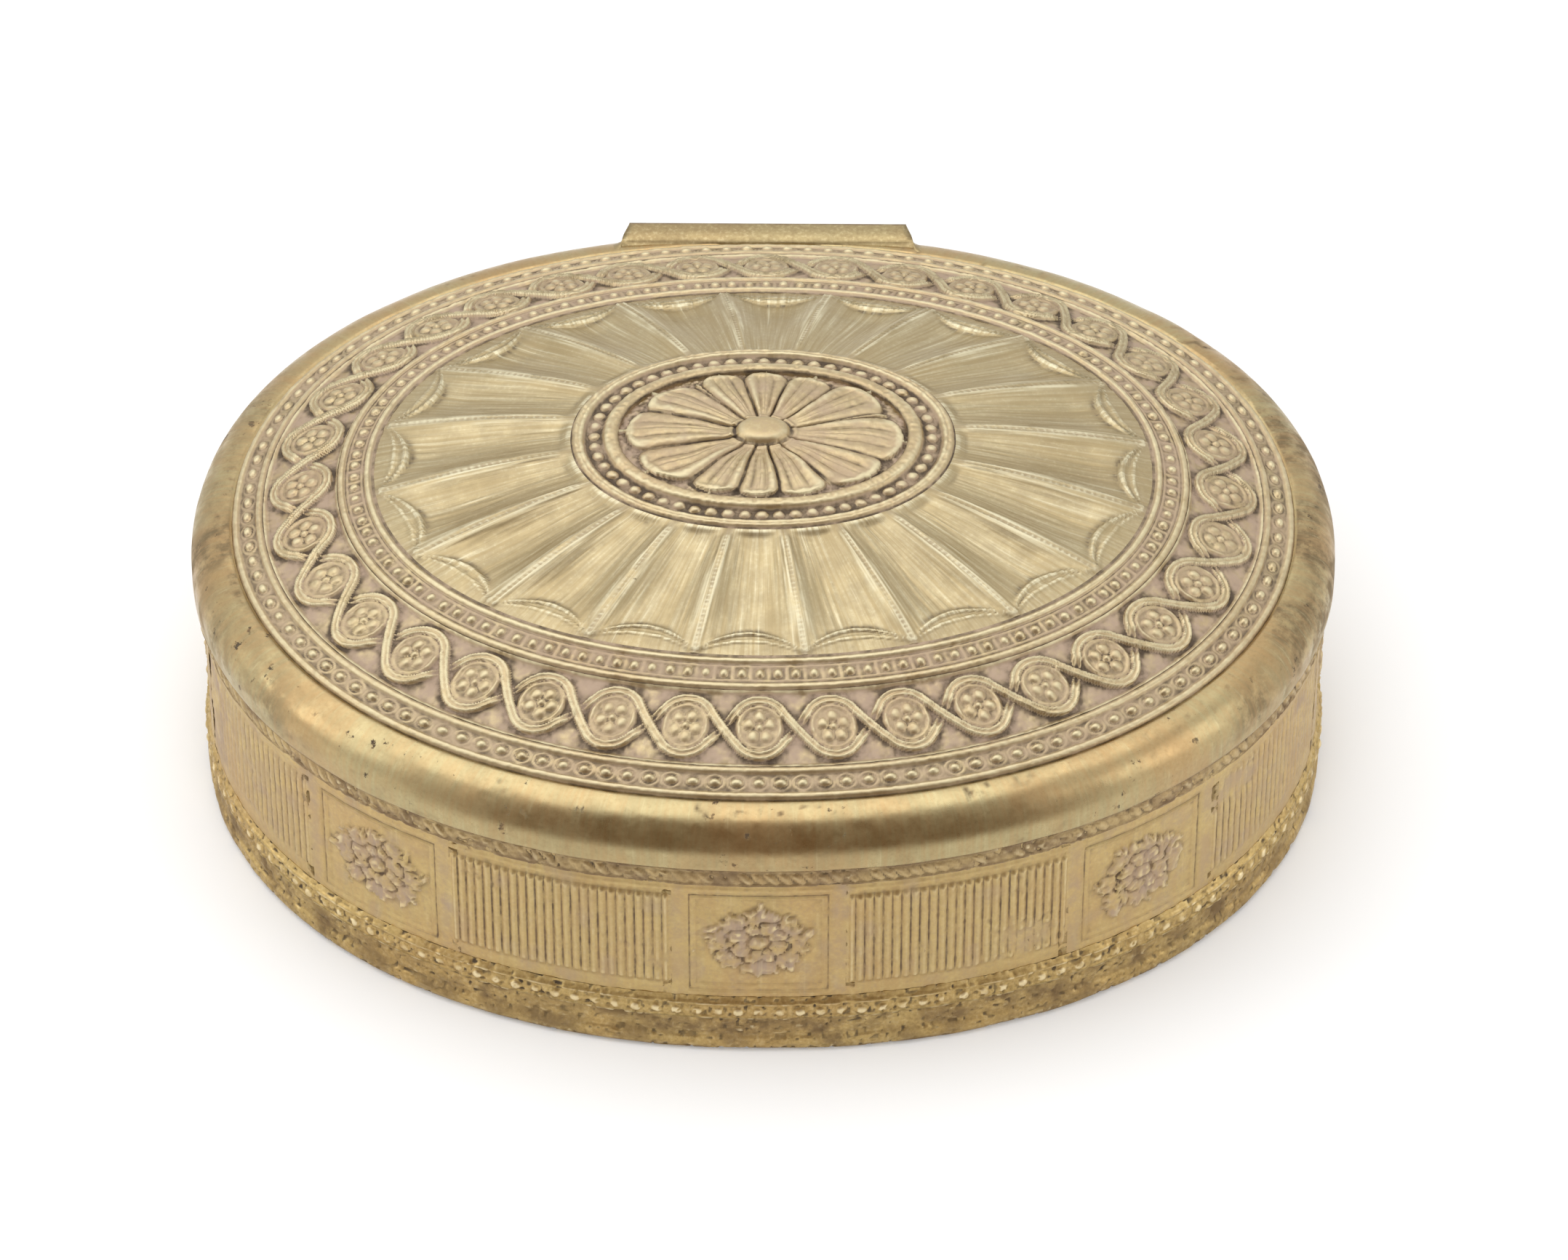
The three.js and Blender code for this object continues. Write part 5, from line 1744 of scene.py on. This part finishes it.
@dataclass
class Lining:
    """The upright collar inside the wall, and the bottom sheet."""

    plan: Plan
    finishes: Finishes
    collar_top: float
    sheet_top: float
    collar_inset: float = 2.0
    collar_sheet: float = 0.7
    columns: int = 720
    base_inset: float = 1.9
    base_ease: float = 0.15
    base_rings: int = 24
    base_columns: int = 360
    wave_size: float = 14.0

    def collar(self) -> Surface:
        """Plain hoop with a rounded top edge."""
        out, inner = self.collar_inset, self.collar_inset + self.collar_sheet
        low, radius = self.sheet_top, self.collar_sheet / 2
        high = self.collar_top - radius
        rounded = arc(((out + inner) / 2, high), radius, 0.0, 180.0, 9)
        section = np.vstack([path([(out, low), (out, high)], 1.6)[:-1], rounded,
                             path([(inner, high), (inner, low)], 1.6)[1:]])

        def rubbed(spot: SideSpot) -> tuple[Array, Array]:
            """Slight waves of a hand-bent strip, with patina that follows them."""
            wave = Grain(91, (40.0, 0.12), 4.0)(spot.turn, spot.travel)
            return 0.02 * wave, 0.25 + 0.2 * wave

        return Hoop(self.plan, section, self.columns).build(rubbed, len(section))

    def bottom(self) -> Surface:
        """Flat oval sheet with eased edges, and patina in soft clouds on both faces."""
        length, rings, ease = self.plan.half_length - self.base_inset, self.base_rings, self.base_ease
        lengths = np.linspace(1.0, length - ease, rings)
        halves = np.concatenate([lengths, [length, length], lengths[::-1]])
        z = np.concatenate([np.zeros(rings), [ease, self.sheet_top - ease], np.full(rings, self.sheet_top)])
        turns, half = np.meshgrid(0.5 + np.arange(self.base_columns) / self.base_columns, halves)
        points = self.plan.points(turns, half, np.broadcast_to(z[:, None], turns.shape))
        wave = Grain(92, shift=9.0)(points[..., 0] / self.wave_size, points[..., 1] / self.wave_size)
        return Surface(points, np.zeros(turns.shape), 0.30 + 0.25 * wave, (rings, rings + 1), True)

    def build(self) -> list[bpy.types.Object]:
        """Builds the collar and the bottom.

        Returns:
            The pieces.
        """
        inside = self.finishes.inside.build()
        return [
            dress("plain_collar", self.collar(), inside, "inner_collar", "body"),
            dress("bottom_sheet", self.bottom(), inside, "base_plate", "body"),
        ]


# The stage


@dataclass
class Studio:
    """Floor, lamps, dark card and camera."""

    lens_pixels: float = 10000.0
    distance: float = 765.0
    azimuth: float = 0.7
    elevation: float = 42.0
    target_z: float = 27.2
    target_pixel: tuple[float, float] = (1049.9, 751.5)
    sensor_mm: float = 36.0
    clip_m: tuple[float, float] = (0.05, 20.0)
    surroundings: float = 0.75
    floor_half_m: float = 3.0
    lamps_at_m: tuple[float, float, float] = (0.0, 0.0, 0.02)

    def camera(self) -> None:
        """Places the camera so that the target point falls on its pixel of the photograph."""
        up_angle, side_angle = math.radians(self.elevation), math.radians(self.azimuth)
        target = Vector((0.0, 0.0, self.target_z))
        level = Vector((math.sin(side_angle), -math.cos(side_angle), 0.0))
        back = level * math.cos(up_angle) + Vector((0.0, 0.0, math.sin(up_angle)))
        right = Vector((math.cos(side_angle), math.sin(side_angle), 0.0))
        up = back.cross(right)
        right_by, down_by = (
            (pixels / 2 - pixel) / self.lens_pixels * self.distance
            for pixels, pixel in zip(FRAME_PIXELS, self.target_pixel)
        )
        place = target + back * self.distance
        aim = target + right * right_by - up * down_by
        data = bpy.data.cameras.new("camera")
        data.sensor_width = self.sensor_mm
        data.lens = self.lens_pixels / FRAME_PIXELS[0] * data.sensor_width
        data.clip_start, data.clip_end = self.clip_m
        camera = bpy.data.objects.new("camera", data)
        camera.location = place * MM
        camera.rotation_mode = "QUATERNION"
        camera.rotation_quaternion = (aim - place).to_track_quat("-Z", "Y")
        bpy.context.scene.collection.objects.link(camera)
        bpy.context.scene.camera = camera

    def world(self) -> None:
        """White surroundings, dimmer as light than the camera, polish and clear sheets see them."""
        world = bpy.data.worlds.new("surroundings")
        world.use_nodes = True
        tree = world.node_tree
        lighting, seen = tree.nodes["Background"], tree.nodes.new("ShaderNodeBackground")
        for background, strength in ((lighting, self.surroundings), (seen, 1.0)):
            background.inputs["Color"].default_value = (1.0, 1.0, 1.0, 1.0)
            background.inputs["Strength"].default_value = strength
        rays = tree.nodes.new("ShaderNodeLightPath")
        seeing = rays.outputs["Is Camera Ray"]
        for kind in ("Is Glossy Ray", "Is Transmission Ray"):
            either = tree.nodes.new("ShaderNodeMath")
            either.operation = "MAXIMUM"
            tree.links.new(seeing, either.inputs[0])
            tree.links.new(rays.outputs[kind], either.inputs[1])
            seeing = either.outputs[0]
        mixed = tree.nodes.new("ShaderNodeMixShader")
        for socket, output in enumerate((seeing, lighting.outputs[0], seen.outputs[0])):
            tree.links.new(output, mixed.inputs[socket])
        tree.links.new(mixed.outputs[0], tree.nodes["World Output"].inputs["Surface"])
        bpy.context.scene.world = world

    @staticmethod
    def staged(name: str, points: list, faces: list, material: bpy.types.Material) -> bpy.types.Object:
        """Adds a sheet of the stage.

        Args:
            name: Name of the sheet.
            points: Its corners, in metres.
            faces: Numbers of the corners of each face.
            material: Its finish.

        Returns:
            The sheet.
        """
        mesh = bpy.data.meshes.new(name)
        mesh.from_pydata(points, [], faces)
        mesh.materials.append(material)
        item = bpy.data.objects.new(name, mesh)
        bpy.context.scene.collection.objects.link(item)
        return item

    def floor(self) -> None:
        """A wide white floor that keeps a soft shadow."""
        g = Graph("floor_white")
        g.shader.inputs["Base Color"].default_value = (0.93, 0.93, 0.93, 1.0)
        g.shader.inputs["Roughness"].default_value = 0.9
        g.shader.inputs["Specular IOR Level"].default_value = 0.1
        half = self.floor_half_m
        corners = [(-half, -half, 0), (half, -half, 0), (half, half, 0), (-half, half, 0)]
        self.staged("floor", corners, [(0, 1, 2, 3)], g.material)

    def dark_card(self) -> None:
        """A dim brown card in front of the box, as a photographer hangs one to give polish its dark band.

        Only reflections see it. It is a part of a ball about the box, and a sheet on the floor before it.
        It fades out towards its edges by the product of two smooth rises.
        """
        ball, floor_rows, ball_rows, columns, side, top = 0.6, 16, 32, 57, 70.0, 76.0
        azimuth, step = np.meshgrid(np.radians(np.linspace(-side, side, columns)),
                                    np.arange(floor_rows + ball_rows + 1))
        elevation = np.radians(np.clip((step - floor_rows) * top / ball_rows, 0.0, top))
        sheet = np.clip(1.0 - step / floor_rows, 0.0, 1.0)
        reach = ball * np.cos(elevation) - 0.52 * sheet
        z = ball * np.sin(elevation) + 0.001
        points = np.stack([reach * np.sin(azimuth), -reach * np.cos(azimuth), z], axis=-1)
        shown = smoothstep(np.abs(azimuth), np.radians(62), np.radians(26))
        shown *= smoothstep(elevation, np.radians(top), np.radians(64))
        shown *= smoothstep(np.hypot(points[..., 0] * 0.8, points[..., 1]), 0.085, 0.120)
        g = Graph("dim_brown_card")
        glow = g.node("ShaderNodeEmission", {"Color": (0.27, 0.195, 0.14, 1.0), "Strength": 1.0})
        clear = g.node("ShaderNodeBsdfTransparent")
        mixing = {0: g.attribute("shown"), 1: clear.outputs[0], 2: glow.outputs[0]}
        mixed = g.node("ShaderNodeMixShader", mixing)
        g.feed(g.tree.nodes["Material Output"].inputs["Surface"], mixed.outputs[0])
        index = np.arange(azimuth.size).reshape(azimuth.shape)
        quads = np.stack([index[:-1, :-1], index[:-1, 1:], index[1:, 1:], index[1:, :-1]], axis=-1)
        corners, faces = points.reshape(-1, 3).tolist(), quads.reshape(-1, 4).tolist()
        card = self.staged("dark_card", corners, faces, g.material)
        attribute = card.data.attributes.new("shown", "FLOAT", "POINT")
        attribute.data.foreach_set("value", shown.ravel().astype(np.float32))
        card.visible_camera = False
        card.visible_diffuse = False
        card.visible_transmission = False
        card.visible_shadow = False

    def lamp(self, name: str, place: tuple[float, float, float], size: tuple[float, float], power: float,
             shines: bool = True) -> None:
        """An area lamp that faces the box.

        Args:
            name: Name of the lamp.
            place: Where it stands, in metres.
            size: Its width and height, in metres.
            power: Watts.
            shines: Whether polished surfaces show it.
        """
        data = bpy.data.lights.new(name, "AREA")
        data.shape = "RECTANGLE"
        data.size, data.size_y = size
        data.energy = power
        lamp = bpy.data.objects.new(name, data)
        lamp.visible_glossy = shines
        lamp.location = place
        lamp.rotation_mode = "QUATERNION"
        lamp.rotation_quaternion = (Vector(self.lamps_at_m) - Vector(place)).to_track_quat("-Z", "Y")
        bpy.context.scene.collection.objects.link(lamp)

    def build(self) -> None:
        """Sets the stage."""
        bpy.context.scene.view_settings.view_transform = "Standard"
        self.world()
        self.floor()
        # Name, place and size in metres, and watts.
        self.lamp("overhead", (-0.14, 0.12, 0.88), (1.1, 0.95), 3.85)
        self.lamp("right_softbox", (0.8, -0.30, 0.40), (0.45, 0.6), 1.1)
        self.lamp("left_softbox", (-0.8, -0.10, 0.45), (0.45, 0.5), 1.1)
        self.lamp("front_fill", (0.0, -0.80, 0.50), (0.9, 0.4), 2.6, shines=False)
        self.dark_card()
        self.camera()


def main() -> None:
    """Builds the box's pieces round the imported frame, and the stage they stand on."""
    logging.basicConfig(level=logging.INFO, format="%(name)s: %(message)s")
    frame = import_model()
    rim_low, rim_high = (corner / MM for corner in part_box("lid_rim"))
    wall_low, wall_high = (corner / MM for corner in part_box("body_wall"))
    plaque_high, leaf_high = (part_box(node)[1] / MM for node in ("lid_plaque", "lid_hinge_leaf"))
    leaf_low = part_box("body_hinge_leaf")[0] / MM
    bands = ("lid_edge_moulding", "base_moulding", "inner_collar", "base_plate")
    strip_top, foot_top, collar_top, sheet_top = (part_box(node)[1].z / MM for node in bands)
    hinge = next(joint for joint in frame["record"]["behaviour"]["joints"] if joint["name"] == "lid_hinge")
    _, axis_y, axis_z = (value / MM for value in hinge["pos_m"])

    finishes = Finishes()
    plan = Plan(rim_high.x, rim_high.y)
    button_height, seat_depth = 1.0, 0.1
    edge_z = rim_high.z - seat_depth
    dome = Dome(plan, plaque_high.x, edge_z, plaque_high.z - button_height - edge_z)
    assemblies = [
        LidPlaque(plan, dome, finishes),
        LidRim(plan, finishes, rim_low.z, strip_top, rim_high.z),
        BodyWall(plan, finishes, wall_low.z, wall_high.z),
        Foot(plan, finishes, foot_top),
        Hinge(plan, finishes, axis_y, axis_z, rim_high.z, leaf_high.z, leaf_low.z),
        Lining(plan, finishes, collar_top, sheet_top),
    ]
    for assembly in assemblies:
        for piece in assembly.build():
            LOG.info("%s: %d faces", piece.name, len(piece.data.polygons))
    Studio().build()


if __name__ == "__main__":
    main()
